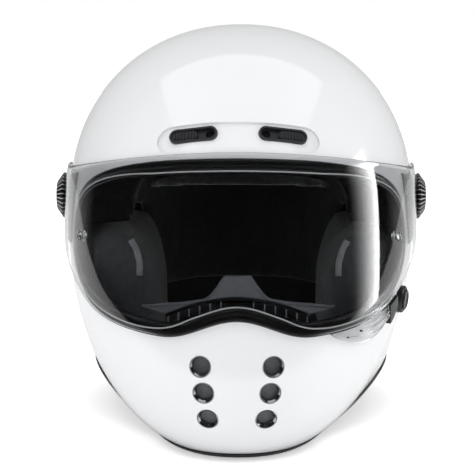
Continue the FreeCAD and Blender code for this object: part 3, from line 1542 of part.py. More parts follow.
def make_plungers():
    """Spring plunger that clicks along the visor's ratchet, one a side."""
    low = beside(*plunger_place).x - size("plate_depth") + fit
    body = rod(size("plunger_radius"), low, low + size("plate_depth"))
    tip = Part.makeSphere(size("plunger_radius"), Vector(0, 0, low + size("plate_depth") - 0.9))
    plunger = placed(body.common(tip).fuse(rod(size("plunger_radius"), low, low + 0.8)), across_frame(*plunger_place, 0))
    return feature("detent_plungers", Part.makeCompound([plunger, mirrored(plunger)]))


# ---------------------------------------------------------------- build, check and write

PATTERNS = ("screw_pattern", "rim_pattern", "mesh_pattern", "rivet_pattern")


def build():
    make_outer_shell()
    make_eyeport_gasket()
    make_bottom_trim()
    make_crown_liner()
    make_chin_liner()
    make_crown_lining()
    make_brow_pad()
    make_cheek_pads()
    make_neck_roll()
    make_visor()
    make_tab()
    make_hook()
    make_pivot_covers()
    make_pivot_plates()
    make_plungers()
    make_screws()
    make_lock()
    make_insert_pins()
    make_ports()
    make_brow_vents()
    make_vent_strip()
    make_deflector()
    make_straps()
    make_rivets()
    make_d_rings()
    make_snaps()


def check_and_write():
    """Stop on any failed object or shape, then write one file for each sub-part."""
    doc.recompute()
    for item in doc.Objects:
        if "Invalid" in item.State or "Error" in item.State:
            raise RuntimeError("%s did not recompute" % item.Label)
    os.makedirs("parts", exist_ok=True)
    for item in doc.Objects:
        if item.TypeId not in ("Part::Feature", "PartDesign::Body") or item.Label in PATTERNS:
            continue
        if item.Shape.isNull() or not item.Shape.isValid():
            raise RuntimeError("%s has no valid shape" % item.Label)
        item.Shape.exportStep("parts/%s.step" % item.Label)
        print("%-22s %2d solids %10.0f mm3" % (item.Label, len(item.Shape.Solids), item.Shape.Volume))


build()
check_and_write()
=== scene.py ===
"""Finish of a full-face motorcycle helmet: lacquered shell, clear visor, rubber edges and lining.

Metres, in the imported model's own frame: +Z up, the chin towards -Y, the wearer's left towards +X.
Every moulded piece is laid off one closed form, the outer skin of the shell, at an offset along its
normal, so the pieces made here lie where the model's own pieces lie.
"""
import json
import math

import bmesh
import bpy
import numpy as np
from mathutils import Matrix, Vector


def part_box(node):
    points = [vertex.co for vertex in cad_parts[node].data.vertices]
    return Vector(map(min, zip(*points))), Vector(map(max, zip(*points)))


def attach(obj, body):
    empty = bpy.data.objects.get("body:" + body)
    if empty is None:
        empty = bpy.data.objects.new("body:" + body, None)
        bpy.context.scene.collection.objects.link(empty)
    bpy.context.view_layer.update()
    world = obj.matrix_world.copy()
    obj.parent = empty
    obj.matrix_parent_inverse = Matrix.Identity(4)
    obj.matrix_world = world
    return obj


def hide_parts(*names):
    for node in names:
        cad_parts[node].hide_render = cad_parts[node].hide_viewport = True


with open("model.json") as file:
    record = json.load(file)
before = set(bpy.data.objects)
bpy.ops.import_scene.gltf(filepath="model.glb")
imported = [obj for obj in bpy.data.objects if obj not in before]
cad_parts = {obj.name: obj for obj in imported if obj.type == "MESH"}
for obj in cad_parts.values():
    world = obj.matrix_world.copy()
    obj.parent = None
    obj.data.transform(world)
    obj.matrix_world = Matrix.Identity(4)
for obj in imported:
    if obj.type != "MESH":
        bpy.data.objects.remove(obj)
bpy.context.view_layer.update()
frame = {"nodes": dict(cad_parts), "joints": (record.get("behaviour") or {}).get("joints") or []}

bl_info = {
    "name": "Full-Face Helmet Finish",
    "version": (1, 0, 0),
    "blender": (4, 5, 0),
    "location": "View3D > Sidebar > Helmet",
    "description": "Surfaces, soft parts and materials of a full-face helmet",
    "category": "Object",
}

MM = 0.001
HINGE = next(joint for joint in frame["joints"] if joint["name"] == "visor_hinge")
PIVOT = np.array(HINGE["pos_m"])

# reach of the side outline from the pivot, at angles from straight ahead upwards (degrees, mm)
SIDE_OUTLINE = np.array([
    (0, 148), (20, 137), (50, 125.5), (90, 122), (130, 135.5), (170, 157), (200, 163), (225, 180),
    (250, 196), (280, 212), (300, 191), (316, 208), (328, 199), (342, 172),
])
ROUNDNESS = 2.1

# the eyeport: azimuth of its corners and spread of the wave over the nose (degrees), and the
# powers of the height that round its corners above and below the widest level
EYEPORT_CORNER = 57.4
NOSE_SPREAD = 18
ROUND_ABOVE, ROUND_BELOW = 2.5, 2.15

# the shell's lower edge: where it is highest, how far from there it is level, its height there,
# and how far it arches up
NECK_MIDDLE, NECK_REACH = -2.7 * MM, 99 * MM
EDGE_LOW, EDGE_ARCH = 5 * MM, 31 * MM

# directions from the pivot through the middles of the two openings
EYE = np.array([0, -1, -0.08]) / math.hypot(1, 0.08)
NECK = np.array([0, -0.04, -1]) / math.hypot(0.04, 1)

# play between a rubber channel and the shell's inner wall, and thetas round an opening (degrees)
CHANNEL_PLAY = 0.3 * MM
ROUND = np.arange(360.0)

# azimuth at which the visor's bottom edge leaves the eyeport (degrees), and its overlap there
VISOR_CORNER, VISOR_OVERLAP = 44.0, 1.0 * MM

# half length and greatest height of the vent strip on the chin bar, and the fall to its ends
STRIP_HALF, STRIP_TOP, STRIP_FALL = 46 * MM, 107 * MM, 14 * MM


# ------------ sizes and colours to set

def length(name, description, default):
    """Property for a length in metres."""
    return bpy.props.FloatProperty(
        name=name, description=description, default=default, unit="LENGTH", precision=4
    )


def linear(code):
    """Linear RGBA of an sRGB hex colour."""
    channels = [int(code[i:i + 2], 16) / 255 for i in (0, 2, 4)]
    return tuple([c / 12.92 if c <= 0.04045 else ((c + 0.055) / 1.055) ** 2.4 for c in channels] + [1.0])


def tint(name, description, code):
    """Property for a colour, from its sRGB hex code."""
    return bpy.props.FloatVectorProperty(
        name=name, description=description, default=linear(code), size=4, subtype="COLOR", min=0, max=1
    )


class HelmetSizes(bpy.types.PropertyGroup):
    """Sizes of the form and of what is laid off it."""

    half_width: length("Half width", "Half width of the shell at the pivots", 122.5 * MM)
    wall: length("Shell wall", "Thickness of the shell", 4.5 * MM)
    eyeport_mid: length("Eyeport level", "Height of the eyeport's widest level", 145 * MM)
    eyeport_rise: length("Eyeport rise", "Top edge above the widest level", 47.6 * MM)
    eyeport_fall: length("Eyeport fall", "Bottom edge below the widest level", 61 * MM)
    nose_rise: length("Nose rise", "Rise of the bottom edge over the nose", 11.8 * MM)
    gasket_band: length("Gasket band", "Width of the eyeport gasket", 8.5 * MM)
    trim_drop: length("Trim drop", "Rubber trim below the shell's edge", 5 * MM)
    visor_gap: length("Visor gap", "Visor's inner face above the shell", 1.2 * MM)
    visor_wall: length("Visor wall", "Thickness of the visor", 2 * MM)
    visor_top: length("Visor top", "Height of the visor's top edge at the middle", 195.5 * MM)
    visor_arm: length("Visor arm", "Radius of the visor's arm round the pivot", 24 * MM)


class HelmetColours(bpy.types.PropertyGroup):
    """Colours of the finishes."""

    lacquer: tint("Lacquer", "Gloss lacquer of the shell", "F3F4F6")
    rubber: tint("Rubber", "Moulded rubber of gasket and trim", "141517")
    plastic: tint("Plastic", "Moulded black plastic", "151618")
    # the cloth's grey is paler than the real dark grey cloth: painted light on the pads, which stand in
    # shade behind the visor
    cloth: tint("Cloth", "Knitted cloth of the pads", "424448")
    lining: tint("Lining", "Smooth lining over the crown", "0B0B0C")
    leathercloth: tint("Leathercloth", "Coated cloth of the breath deflector", "6F7277")
    steel: tint("Steel", "Bright turned steel", "C6C8CB")


def sizes():
    """The helmet's sizes as the scene holds them."""
    return bpy.context.scene.helmet_sizes


def colours():
    """The helmet's colours as the scene holds them."""
    return bpy.context.scene.helmet_colours


# ------------ the form, on whole arrays

def side_bends():
    """Second derivatives of the periodic cubic spline through the side outline."""
    angles, reaches = SIDE_OUTLINE[:, 0], SIDE_OUTLINE[:, 1] * MM
    steps = np.diff(np.append(angles, angles[0] + 360))
    slopes = np.diff(np.append(reaches, reaches[0])) / steps
    count = len(angles)
    index = np.arange(count)
    system = np.zeros((count, count))
    system[index, index - 1] += np.roll(steps, 1)
    system[index, index] += 2 * (np.roll(steps, 1) + steps)
    system[index, (index + 1) % count] += steps
    return steps, np.linalg.solve(system, 6 * (slopes - np.roll(slopes, 1)))


SIDE_STEPS, SIDE_BENDS = side_bends()


def side_reach(angle):
    """Reach of the side outline at angles in degrees: the cubic of the stretch each falls in."""
    angle = angle % 360
    reaches = SIDE_OUTLINE[:, 1] * MM
    i = np.searchsorted(SIDE_OUTLINE[:, 0], angle, side="right") - 1
    follow = (i + 1) % len(reaches)
    after = (angle - SIDE_OUTLINE[i, 0]) / SIDE_STEPS[i]
    before = 1 - after
    bend = (before**3 - before) * SIDE_BENDS[i] + (after**3 - after) * SIDE_BENDS[follow]
    return before * reaches[i] + after * reaches[follow] + bend * SIDE_STEPS[i] ** 2 / 6


def fill(points):
    """1 on the form: the 2.1-power mean of the share across and the share along the side reach."""
    x, y, z = np.moveaxis(points - PIVOT, -1, 0)
    across = np.abs(x) / sizes().half_width
    along = np.hypot(y, z) / side_reach(np.degrees(np.arctan2(z, -y)))
    return (across**ROUNDNESS + along**ROUNDNESS) ** (1 / ROUNDNESS)


def unit(vectors):
    """Vectors along the last axis, each divided by its own length."""
    return vectors / np.linalg.norm(vectors, axis=-1, keepdims=True)


def outward(points):
    """Unit normals of the form's level sets, from central differences of fill."""
    step = 0.05 * MM
    slope = [fill(points + axis * step) - fill(points - axis * step) for axis in np.eye(3)]
    return unit(np.stack(slope, -1))


def on_form(directions, offset=0.0):
    """Points of the form in the directions from the pivot, moved along the normal by the offset."""
    points = PIVOT + directions / fill(PIVOT + directions)[..., None]
    return points + outward(points) * np.asarray(offset)[..., None]


def bisect(level, low, high):
    """Where a level function of an array of parameters changes sign, for every element at once."""
    low, high = np.array(low, float), np.array(high, float)
    rising = level(high) > 0
    for _ in range(40):
        middle = (low + high) / 2
        up = (level(middle) > 0) == rising
        high, low = np.where(up, middle, high), np.where(up, low, middle)
    return (low + high) / 2


def at_height(azimuth, height, offset=0.0):
    """Points of the form at azimuths from straight ahead (degrees) and heights."""
    azimuth, height = np.broadcast_arrays(azimuth, height)
    turn = np.radians(azimuth)
    ahead = np.stack([np.sin(turn), -np.cos(turn), 0 * turn], -1)
    base = PIVOT + np.stack([0 * turn, 0 * turn, height - PIVOT[2]], -1)

    def level(distance):
        return fill(base + ahead * distance[..., None]) - 1

    distance = bisect(level, 0 * turn, 0 * turn + 0.3)
    points = base + ahead * distance[..., None]
    return points + outward(points) * np.asarray(offset)[..., None]


# ------------ the two openings

def eyeport_level(points, grow):
    """Below 0 inside the eyeport's outline widened by grow: powers of the angle and of the height."""
    s = sizes()
    x, y, z = np.moveaxis(points, -1, 0)
    azimuth = np.degrees(np.arctan2(np.abs(x), PIVOT[1] - y))
    across = azimuth / (EYEPORT_CORNER + np.degrees(grow / np.hypot(x, y - PIVOT[1])))
    rise = z - s.eyeport_mid
    nose = s.nose_rise * (1 - np.minimum(azimuth / NOSE_SPREAD, 1) ** 2) ** 3
    above = across**2 + (np.maximum(rise, 0) / (s.eyeport_rise + grow)) ** ROUND_ABOVE
    below = across**3 + (np.maximum(-rise, 0) / (s.eyeport_fall + grow - nose)) ** ROUND_BELOW
    return np.where(rise > 0, above, below) - 1


def edge_height(y):
    """Height of the shell's lower edge: level at chin and nape, a quartic arch between them."""
    share = np.clip((y - NECK_MIDDLE) / NECK_REACH, -1, 1)
    return EDGE_LOW + EDGE_ARCH * (1 - share**2) ** 2


def arc_direction(theta, share):
    """Directions on circular arcs of the unit sphere from the eyeport's centre to the neck's.

    Theta (degrees) turns the arc's bulge about the chord; share runs along the arc.
    """
    middle = (EYE + NECK) / 2
    chord = unit(NECK - EYE)
    turn = np.radians(theta)[..., None]
    bulge = unit(unit(middle) * np.cos(turn) + np.array([1.0, 0, 0]) * np.sin(turn))
    depth = (bulge @ middle)[..., None]
    radius = np.sqrt(1 - (middle @ middle - depth**2))
    swing = np.arccos(np.clip(depth / radius, -1, 1)) * (2 * share[..., None] - 1)
    return unit(middle + bulge * (radius * np.cos(swing) - depth) + chord * radius * np.sin(swing))


def eyeport_share(theta, grow):
    """Share of each arc at which it leaves the widened eyeport."""
    def level(share):
        return eyeport_level(on_form(arc_direction(theta, share)), grow)
    return bisect(level, 0 * theta + 0.02, 0 * theta + 0.98)


def neck_share(theta, lift):
    """Share of each arc at which it comes down to a height above the shell's edge."""
    def level(share):
        points = on_form(arc_direction(theta, share))
        return edge_height(points[..., 1]) + lift - points[..., 2]
    return bisect(level, 0 * theta + 0.05, 0 * theta + 0.999)


# ------------ meshes

def put_in_scene(name, data):
    """New object in the scene that holds a mesh, a lamp or a camera."""
    thing = bpy.data.objects.new(name, data)
    bpy.context.scene.collection.objects.link(thing)
    return thing


def shade_smooth(mesh):
    """Smooth shading on every face."""
    mesh.polygons.foreach_set("use_smooth", np.ones(len(mesh.polygons), bool))


def vertex_places(mesh):
    """Places of the mesh's vertices, one row each."""
    places = np.empty(len(mesh.vertices) * 3)
    mesh.vertices.foreach_get("co", places)
    return places.reshape(-1, 3)


def new_object(name, vertices, faces):
    """Smooth-shaded mesh object from whole arrays of vertices and of their numbers in each face."""
    mesh = bpy.data.meshes.new(name)
    mesh.from_pydata(np.asarray(vertices, float).tolist(), [], np.asarray(faces).tolist())
    mesh.validate()
    shade_smooth(mesh)
    return put_in_scene(name, mesh)


def tidy_mesh(mesh, distance, fill_ends):
    """Merge doubles, fill open ends where asked, and turn every face outwards."""
    work = bmesh.new()
    work.from_mesh(mesh)
    bmesh.ops.remove_doubles(work, verts=work.verts, dist=distance)
    if fill_ends:
        bmesh.ops.holes_fill(work, edges=[e for e in work.edges if e.is_boundary], sides=0)
    bmesh.ops.recalc_face_normals(work, faces=work.faces)
    work.to_mesh(mesh)
    work.free()


def grid_faces(rows, columns, closed):
    """Quads between neighbours in a grid of closed sections, whose last row may join its first."""
    i = np.arange(rows if closed else rows - 1)[:, None]
    j = np.arange(columns)[None, :]
    i_next, j_next = (i + 1) % rows, (j + 1) % columns
    corners = [i * columns + j, i * columns + j_next, i_next * columns + j_next, i_next * columns + j]
    return np.stack([np.broadcast_to(c, (i.size, j.size)) for c in corners], -1).reshape(-1, 4)


def grid_object(name, points, closed=False):
    """Closed piece from rows of points, each row a closed section; a ring also closes on itself."""
    faces = grid_faces(*points.shape[:2], closed)
    piece = new_object(name, points.reshape(-1, 3), faces)
    tidy_mesh(piece.data, 0.002 * MM, fill_ends=True)
    return piece


def sweep(name, path, across, above, profile):
    """Closed profile carried along a path: path + across * first + above * second coordinate."""
    profile = np.asarray(profile, float)
    points = path[:, None] + across[:, None] * profile[None, :, :1] + above[:, None] * profile[None, :, 1:]
    return grid_object(name, points)


def rounded_box(half_width, half_height, radius, steps=4):
    """Outline of a rectangle with round corners, turned once round its centre."""
    turn = np.linspace(0, 90, steps + 1)
    points = []
    for quarter, (x, y) in enumerate(((1, 1), (-1, 1), (-1, -1), (1, -1))):
        angle = np.radians(turn + 90 * quarter)
        centre = np.array([x * (half_width - radius), y * (half_height - radius)])
        points.append(centre + radius * np.stack([np.cos(angle), np.sin(angle)], -1))
    return np.concatenate(points)


def rounded(profile):
    """Closed profile with its corners cut round: Chaikin's corner cutting, done twice."""
    points = np.asarray(profile, float)
    for _ in range(2):
        following = np.roll(points, -1, axis=0)
        points = np.stack([0.75 * points + 0.25 * following, 0.25 * points + 0.75 * following], 1)
        points = points.reshape(-1, 2)
    return points


def plate_section(along, round_steps):
    """Section of a thin plate with half-round ends, walked once round from its low outer corner.

    Gives, for each point, its share of the way up, how far it stands beyond that, and its place
    through the thickness; the last two are in half thicknesses, as the cosine and sine of the turn.
    """
    rise = np.linspace(0, 1, along)
    turn = np.linspace(-0.5, 0.5, round_steps)[1:-1] * math.pi
    shares = np.concatenate([rise, 1 + 0 * turn, rise[::-1], 0 * turn])
    beyond = np.concatenate([0 * rise, np.cos(turn), 0 * rise, -np.cos(turn)])
    through = np.concatenate([0 * rise + 1, -np.sin(turn), 0 * rise - 1, np.sin(turn)])
    return shares, beyond, through


def ring_tube(name, points, normals, radius):
    """Round tube along a closed line: circles across its tangent, from its normal and binormal."""
    along = unit(np.roll(points, -1, axis=0) - np.roll(points, 1, axis=0))
    side = unit(np.cross(along, normals))
    turn = np.linspace(0, 2 * math.pi, 10, endpoint=False)[None, :, None]
    circle = normals[:, None] * np.cos(turn) + side[:, None] * np.sin(turn)
    return grid_object(name, points[:, None] + radius * circle, closed=True)


def joined(name, pieces):
    """One piece from several, their meshes put together."""
    work = bmesh.new()
    for piece in pieces:
        work.from_mesh(piece.data)
        bpy.data.objects.remove(piece)
    mesh = bpy.data.meshes.new(name)
    work.to_mesh(mesh)
    work.free()
    return put_in_scene(name, mesh)


def copy_of(name, node):
    """Piece with the shape of one of the model's nodes, its loose triangles merged."""
    piece = put_in_scene(name, frame["nodes"][node].data.copy())
    tidy_mesh(piece.data, 0.001 * MM, fill_ends=False)
    return piece


def follow_form(piece, limit):
    """Give every corner the form's own normal where its face lies along the form, else the face's.

    A face lies along the form where the cosine between the two normals is above the limit.
    """
    mesh = piece.data
    shade_smooth(mesh)
    corners = np.empty(len(mesh.loops), int)
    mesh.loops.foreach_get("vertex_index", corners)
    flat = np.empty(len(mesh.polygons) * 3)
    mesh.polygons.foreach_get("normal", flat)
    totals = np.empty(len(mesh.polygons), int)
    mesh.polygons.foreach_get("loop_total", totals)
    flat = np.repeat(flat.reshape(-1, 3), totals, axis=0)
    along = outward(vertex_places(mesh))[corners]
    facing = (along * flat).sum(-1)
    normals = np.where((facing > limit)[:, None], along, flat)
    normals = np.where((facing < -limit)[:, None], -along, normals)
    mesh.normals_split_custom_set(normals.tolist())


def finish(piece, material, body, slot, *nodes):
    """Give a piece its material and its body, and hide the nodes that it stands for; the record's slot is
    not used.
    """
    piece.data.materials.clear()
    piece.data.materials.append(material)
    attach(piece, body)
    if nodes:
        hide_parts(*nodes)


def dress(material, *nodes):
    """Give model nodes that keep their own shape a material."""
    for node in nodes:
        mesh = frame["nodes"][node].data
        mesh.materials.clear()
        mesh.materials.append(material)


# ------------ materials

def add(tree, kind, inputs=None, **settings):
    """Add a shader node; an input is a value, a socket to link, or a node whose first output is."""
    node = tree.nodes.new("ShaderNode" + kind)
    for name, value in settings.items():
        setattr(node, name, value)
    for name, value in (inputs or {}).items():
        if isinstance(value, bpy.types.Node):
            value = value.outputs[0]
        if isinstance(value, bpy.types.NodeSocket):
            tree.links.new(value, node.inputs[name])
        else:
            node.inputs[name].default_value = value
    return node


def new_material(name, colour, roughness, metallic=0.0, **sockets):
    """Material with one Principled shader; further sockets are named with underscores for spaces."""
    material = bpy.data.materials.new(name)
    material.use_nodes = True
    tree = material.node_tree
    shader = tree.nodes["Principled BSDF"]
    shader.inputs["Base Color"].default_value = tuple(colour)
    shader.inputs["Roughness"].default_value = roughness
    shader.inputs["Metallic"].default_value = metallic
    for socket, value in sockets.items():
        shader.inputs[socket.replace("_", " ")].default_value = value
    return material, tree, shader


def shade(colour, factor):
    """A colour made darker or lighter, with its alpha kept."""
    return [min(1.0, c * factor) for c in colour[:3]] + [1.0]


def grain(tree, spacing, detail=3.0):
    """Cloudy noise whose features lie about a spacing apart."""
    place = add(tree, "TexCoord").outputs["Object"]
    return add(tree, "TexNoise", {
        "Vector": place, "Scale": 0.6 / spacing, "Detail": detail, "Roughness": 0.6,
    })


def weave(tree, spacing, turn=0.0):
    """Over-and-under pattern of threads a spacing apart, seen along Y: product of two sine waves."""
    place = add(tree, "Mapping", {
        "Vector": add(tree, "TexCoord").outputs["Object"], "Rotation": (0, math.radians(turn), 0),
    })
    split = add(tree, "SeparateXYZ", {"Vector": place})
    waves = []
    for axis in ("X", "Z"):
        angle = add(tree, "Math", {0: split.outputs[axis], 1: math.pi / spacing}, operation="MULTIPLY")
        waves.append(add(tree, "Math", {0: angle}, operation="SINE"))
    product = add(tree, "Math", {0: waves[0], 1: waves[1]}, operation="MULTIPLY")
    return add(tree, "Math", {0: product}, operation="ABSOLUTE")


def texture(tree, shader, relief, depth, dark, light, tones=None):
    """Raise the surface by a pattern of a real depth, and run its colour from dark to light with
    the same pattern or with another one."""
    raised = add(tree, "Bump", {"Height": relief, "Distance": depth})
    colour = add(tree, "Mix", {0: tones or relief, 6: tuple(dark), 7: tuple(light)}, data_type="RGBA")
    tree.links.new(raised.outputs["Normal"], shader.inputs["Normal"])
    tree.links.new(colour.outputs[2], shader.inputs["Base Color"])


def shell_lacquer():
    """Clear-coated white paint on a moulded shell: a mirror-smooth coat over an even white."""
    material, tree, shader = new_material(
        "gloss_lacquer_on_moulded_shell", colours().lacquer, 0.16, Coat_Weight=1.0, Coat_Roughness=0.02
    )
    # the faint waviness that sprayed lacquer keeps, about 6 mm across, and its clouds of 60 mm
    texture(
        tree, shader, grain(tree, 6 * MM, 1.0), 0.006 * MM, shade(colours().lacquer, 0.985),
        colours().lacquer, grain(tree, 60 * MM, 1.0)
    )
    return material


def moulded_rubber(name, roughness):
    """Moulded black rubber: a soft sheen broken by a fine skin from the mould."""
    colour = colours().rubber
    material, tree, shader = new_material(name, colour, roughness, Specular_IOR_Level=0.55)
    texture(tree, shader, grain(tree, 1.2 * MM), 0.02 * MM, shade(colour, 0.8), shade(colour, 1.35))
    return material


def painted_highlight_lip():
    """Crest of a moulded rubber lip in pale grey: a painted highlight, the bright line that light draws
    along the gasket's lip.
    """
    material, tree, shader = new_material("rubbed_rubber_crest", linear("D4D6D8"), 0.25)
    # the painted highlight runs from pale grey to near white with a grain of 8 mm
    texture(tree, shader, grain(tree, 8 * MM, 2.0), 0.01 * MM, linear("C0C2C5"), linear("F4F5F6"))
    return material


def moulded_plastic(name, colour, roughness):
    """Injection-moulded satin plastic: fine spark-eroded grain, drawn at 0.5 mm so that it shows."""
    material, tree, shader = new_material(name, colour, roughness)
    pattern = grain(tree, 0.5 * MM, 2.0)
    texture(tree, shader, pattern, 0.015 * MM, shade(colour, 0.85), shade(colour, 1.25))
    return material


def clear_polycarbonate(name, roughness=0.0):
    """Clear hard-coated polycarbonate: it shows what lies behind and mirrors the lights."""
    material, tree, shader = new_material(
        name, linear("FAFBFC"), roughness, IOR=1.52, Transmission_Weight=1.0
    )
    # flow lines of the moulding, far too shallow to see but for their glints
    flow = add(tree, "Bump", {"Height": grain(tree, 40 * MM, 0.0), "Distance": 0.004 * MM})
    tree.links.new(flow.outputs["Normal"], shader.inputs["Normal"])
    return material


def turned_steel(name, roughness=0.22):
    """Bright turned steel with fine tool marks, drawn 0.6 mm apart so that they show."""
    material, tree, shader = new_material(name, colours().steel, roughness, 1.0)
    marks = grain(tree, 0.6 * MM, 4.0)
    texture(tree, shader, marks, 0.01 * MM, shade(colours().steel, 0.8), colours().steel)
    return material


def woven_wire():
    """Woven steel wire laid diagonally, 1.1 mm between wires: bright crossings, dark holes."""
    material, tree, shader = new_material("woven_wire_mesh", linear("8E9094"), 0.35, 0.85)
    texture(tree, shader, weave(tree, 1.1 * MM, 45), 0.3 * MM, linear("1C1D1F"), linear("B9BBBF"))
    return material


def knitted_cloth(name, colour, spacing=1.5 * MM):
    """Brushed knitted cloth over foam: rows of small stitches, soft and without shine."""
    material, tree, shader = new_material(name, colour, 0.95, Sheen_Weight=0.35, Sheen_Roughness=0.6)
    stitches = weave(tree, spacing)
    nap = grain(tree, 3 * MM, 5.0)
    brushed = add(tree, "Math", {0: stitches, 1: nap}, operation="MULTIPLY")
    texture(tree, shader, brushed, 0.35 * MM, shade(colour, 0.55), shade(colour, 1.7), nap)
    return material


def bead_foam():
    """Moulded bead foam, black: the beads show as 3 mm cells."""
    material, tree, shader = new_material("moulded_bead_foam", linear("1B1B1C"), 0.8)
    place = add(tree, "TexCoord").outputs["Object"]
    beads = add(tree, "TexVoronoi", {"Vector": place, "Scale": 1 / (3 * MM)})
    texture(tree, shader, beads, 0.3 * MM, linear("242425"), linear("111112"))
    return material


def leathercloth():
    """Coated cloth with a pressed grain of 0.9 mm: a dull grey, paler on the grain's tops."""
    colour = colours().leathercloth
    material, tree, shader = new_material("pressed_leathercloth", colour, 0.55)
    pressed = grain(tree, 0.9 * MM, 4.0)
    texture(tree, shader, pressed, 0.12 * MM, shade(colour, 0.7), shade(colour, 1.4))
    return material


def woven_webbing():
    """Woven polyester webbing: dull threads over and under each other, 2 mm apart."""
    material, tree, shader = new_material("woven_webbing", linear("161719"), 0.85)
    texture(tree, shader, weave(tree, 2 * MM), 0.4 * MM, linear("0B0B0C"), linear("2A2B2E"))
    return material


def foil_plate():
    """Satin metallised plastic with level ribs 3 mm apart, which catch the light in turn."""
    material, tree, shader = new_material("ribbed_metallised_plastic", linear("3C3E42"), 0.38, 0.4)
    place = add(tree, "TexCoord").outputs["Object"]
    height = add(tree, "SeparateXYZ", {"Vector": place}).outputs["Z"]
    phase = add(tree, "Math", {0: height, 1: 2 * math.pi / (3 * MM)}, operation="MULTIPLY")
    ribs = add(tree, "Math", {0: phase}, operation="SINE")
    wear = grain(tree, 1.5 * MM, 4.0)
    texture(tree, shader, ribs, 0.25 * MM, linear("101113"), linear("6A6C71"), wear)
    return material


def slit_cover():
    """Black moulded disc with bright foil in its radial slits.

    A point is in a slit where its share of the turn between two slits is near a whole number, and
    outside the disc's flat face.
    """
    slits, half_slit, flat_face = 30, 0.075, 10.7 * MM
    material, tree, shader = new_material("moulded_cover_with_bright_slits", colours().plastic, 0.3)
    place = add(tree, "TexCoord").outputs["Object"]
    centred = add(tree, "Mapping", {"Vector": place, "Location": tuple(-PIVOT)})
    split = add(tree, "SeparateXYZ", {"Vector": centred})
    y, z = split.outputs["Y"], split.outputs["Z"]
    turn = add(tree, "Math", {0: z, 1: y}, operation="ARCTAN2")
    around = add(tree, "Math", {0: turn, 1: slits / (2 * math.pi)}, operation="MULTIPLY")
    wave = add(tree, "Math", {0: around, 1: 0.5}, operation="PINGPONG")
    slit = add(tree, "Math", {0: wave, 1: half_slit}, operation="LESS_THAN")
    flat = add(tree, "CombineXYZ", {"Y": y, "Z": z})
    radius = add(tree, "VectorMath", {0: flat}, operation="LENGTH").outputs["Value"]
    bevel = add(tree, "Math", {0: radius, 1: flat_face}, operation="GREATER_THAN")
    bright = add(tree, "Math", {0: slit, 1: bevel}, operation="MULTIPLY")
    colour = add(
        tree, "Mix", {0: bright, 6: tuple(colours().plastic), 7: linear("C9CBCE")}, data_type="RGBA"
    )
    tree.links.new(colour.outputs[2], shader.inputs["Base Color"])
    return material


# ------------ shell and rubber edges

def make_shell():
    """The lacquered shell, with its openings and recesses, on the form's exact normals."""
    shell = copy_of("lacquered_shell", "outer_shell")
    follow_form(shell, 0.94)
    finish(shell, shell_lacquer(), "helmet", "shell_white", "outer_shell")


def make_gasket():
    """Rubber channel round the eyeport: its profile is carried once round the opening's edge.

    Each profile point is a distance outwards from the edge and an offset from the form.
    """
    s = sizes()
    band, back = s.gasket_band, -s.wall - CHANNEL_PLAY
    grip = back - 2.5 * MM
    profile = rounded([
        (-0.05 * MM, -0.1 * MM), (-0.2 * band, 0.25 * MM), (-0.45 * band, -0.2 * MM),
        (-0.55 * band, -1.3 * MM), (-0.72 * band, -1.2 * MM), (-0.78 * band, 0.8 * MM),
        (-0.97 * band, 0.8 * MM), (-band, -0.8 * MM), (-0.93 * band, grip), (4 * MM, grip),
        (4 * MM, back), (-0.1 * MM, back),
    ])
    rows = [
        on_form(arc_direction(ROUND, eyeport_share(ROUND, grow)), offset + 0 * ROUND)
        for grow, offset in profile
    ]
    gasket = grid_object("eyeport_gasket_rubber", np.stack(rows, 1), closed=True)
    finish(gasket, moulded_rubber("moulded_gasket_rubber", 0.3), "helmet", "rubber_black", "eyeport_gasket")
    make_painted_highlight_lip()


def make_painted_highlight_lip():
    """Pale tube on the gasket's crest, a painted highlight line: by the inner edge at top and bottom, and
    towards the shell at the sides, where it comes over smoothly as the sine of theta nears 1."""
    inner, outer = 0.92, 0.30
    share = np.clip((np.abs(np.sin(np.radians(ROUND))) - 0.78) / 0.2, 0, 1)
    grow = -sizes().gasket_band * (inner - (inner - outer) * share**2 * (3 - 2 * share))
    points = on_form(arc_direction(ROUND, eyeport_share(ROUND, grow)), 0.75 * MM + 0 * ROUND)
    # a thin pale tube standing for the highlight along the lip: painted highlight, not a part of its own
    lip = ring_tube("gasket_rubbed_lip", points, outward(points), 0.5 * MM)
    finish(lip, painted_highlight_lip(), "helmet", "rubber_black")


def make_trim():
    """Rubber channel round the neck edge, flat underneath at chin and nape.

    Each profile point is a height above the edge and a level distance out from the form.
    """
    s = sizes()
    drop, back = s.trim_drop, -s.wall - CHANNEL_PLAY
    leg = back - 2.2 * MM
    profile = rounded([
        (-0.1 * MM, 0.5 * MM), (-0.25 * drop, 1.1 * MM), (-0.75 * drop, 1.1 * MM), (-drop, 0.2 * MM),
        (-drop, leg + 0.4 * MM), (-0.7 * drop, leg), (6 * MM, leg), (6 * MM, back), (-0.1 * MM, back),
    ])
    rows = []
    for lift, offset in profile:
        points = on_form(arc_direction(ROUND, neck_share(ROUND, lift)))
        level = outward(points) * [1, 1, 0]
        rows.append(points + level * (offset / (level**2).sum(-1, keepdims=True)))
    trim = grid_object("neck_trim_rubber", np.stack(rows, 1), closed=True)
    finish(trim, moulded_rubber("moulded_trim_rubber", 0.38), "helmet", "rubber_black", "bottom_trim")


# ------------ visor

def visor_top(azimuth):
    """Height of the visor's top edge: it falls to the arm's top with the azimuth's sine squared."""
    s = sizes()
    share = np.sin(np.radians(np.minimum(azimuth, 90))) ** 2
    return s.visor_top - (s.visor_top - PIVOT[2] - s.visor_arm) * share


def eyeport_bottom(azimuth, grow):
    """Height at which the widened eyeport's bottom edge crosses each azimuth."""
    s = sizes()
    low = s.eyeport_mid - s.eyeport_fall - grow - MM

    def level(height):
        return -eyeport_level(at_height(azimuth, height), grow)

    return bisect(level, low + 0 * azimuth, s.eyeport_mid + 0 * azimuth)


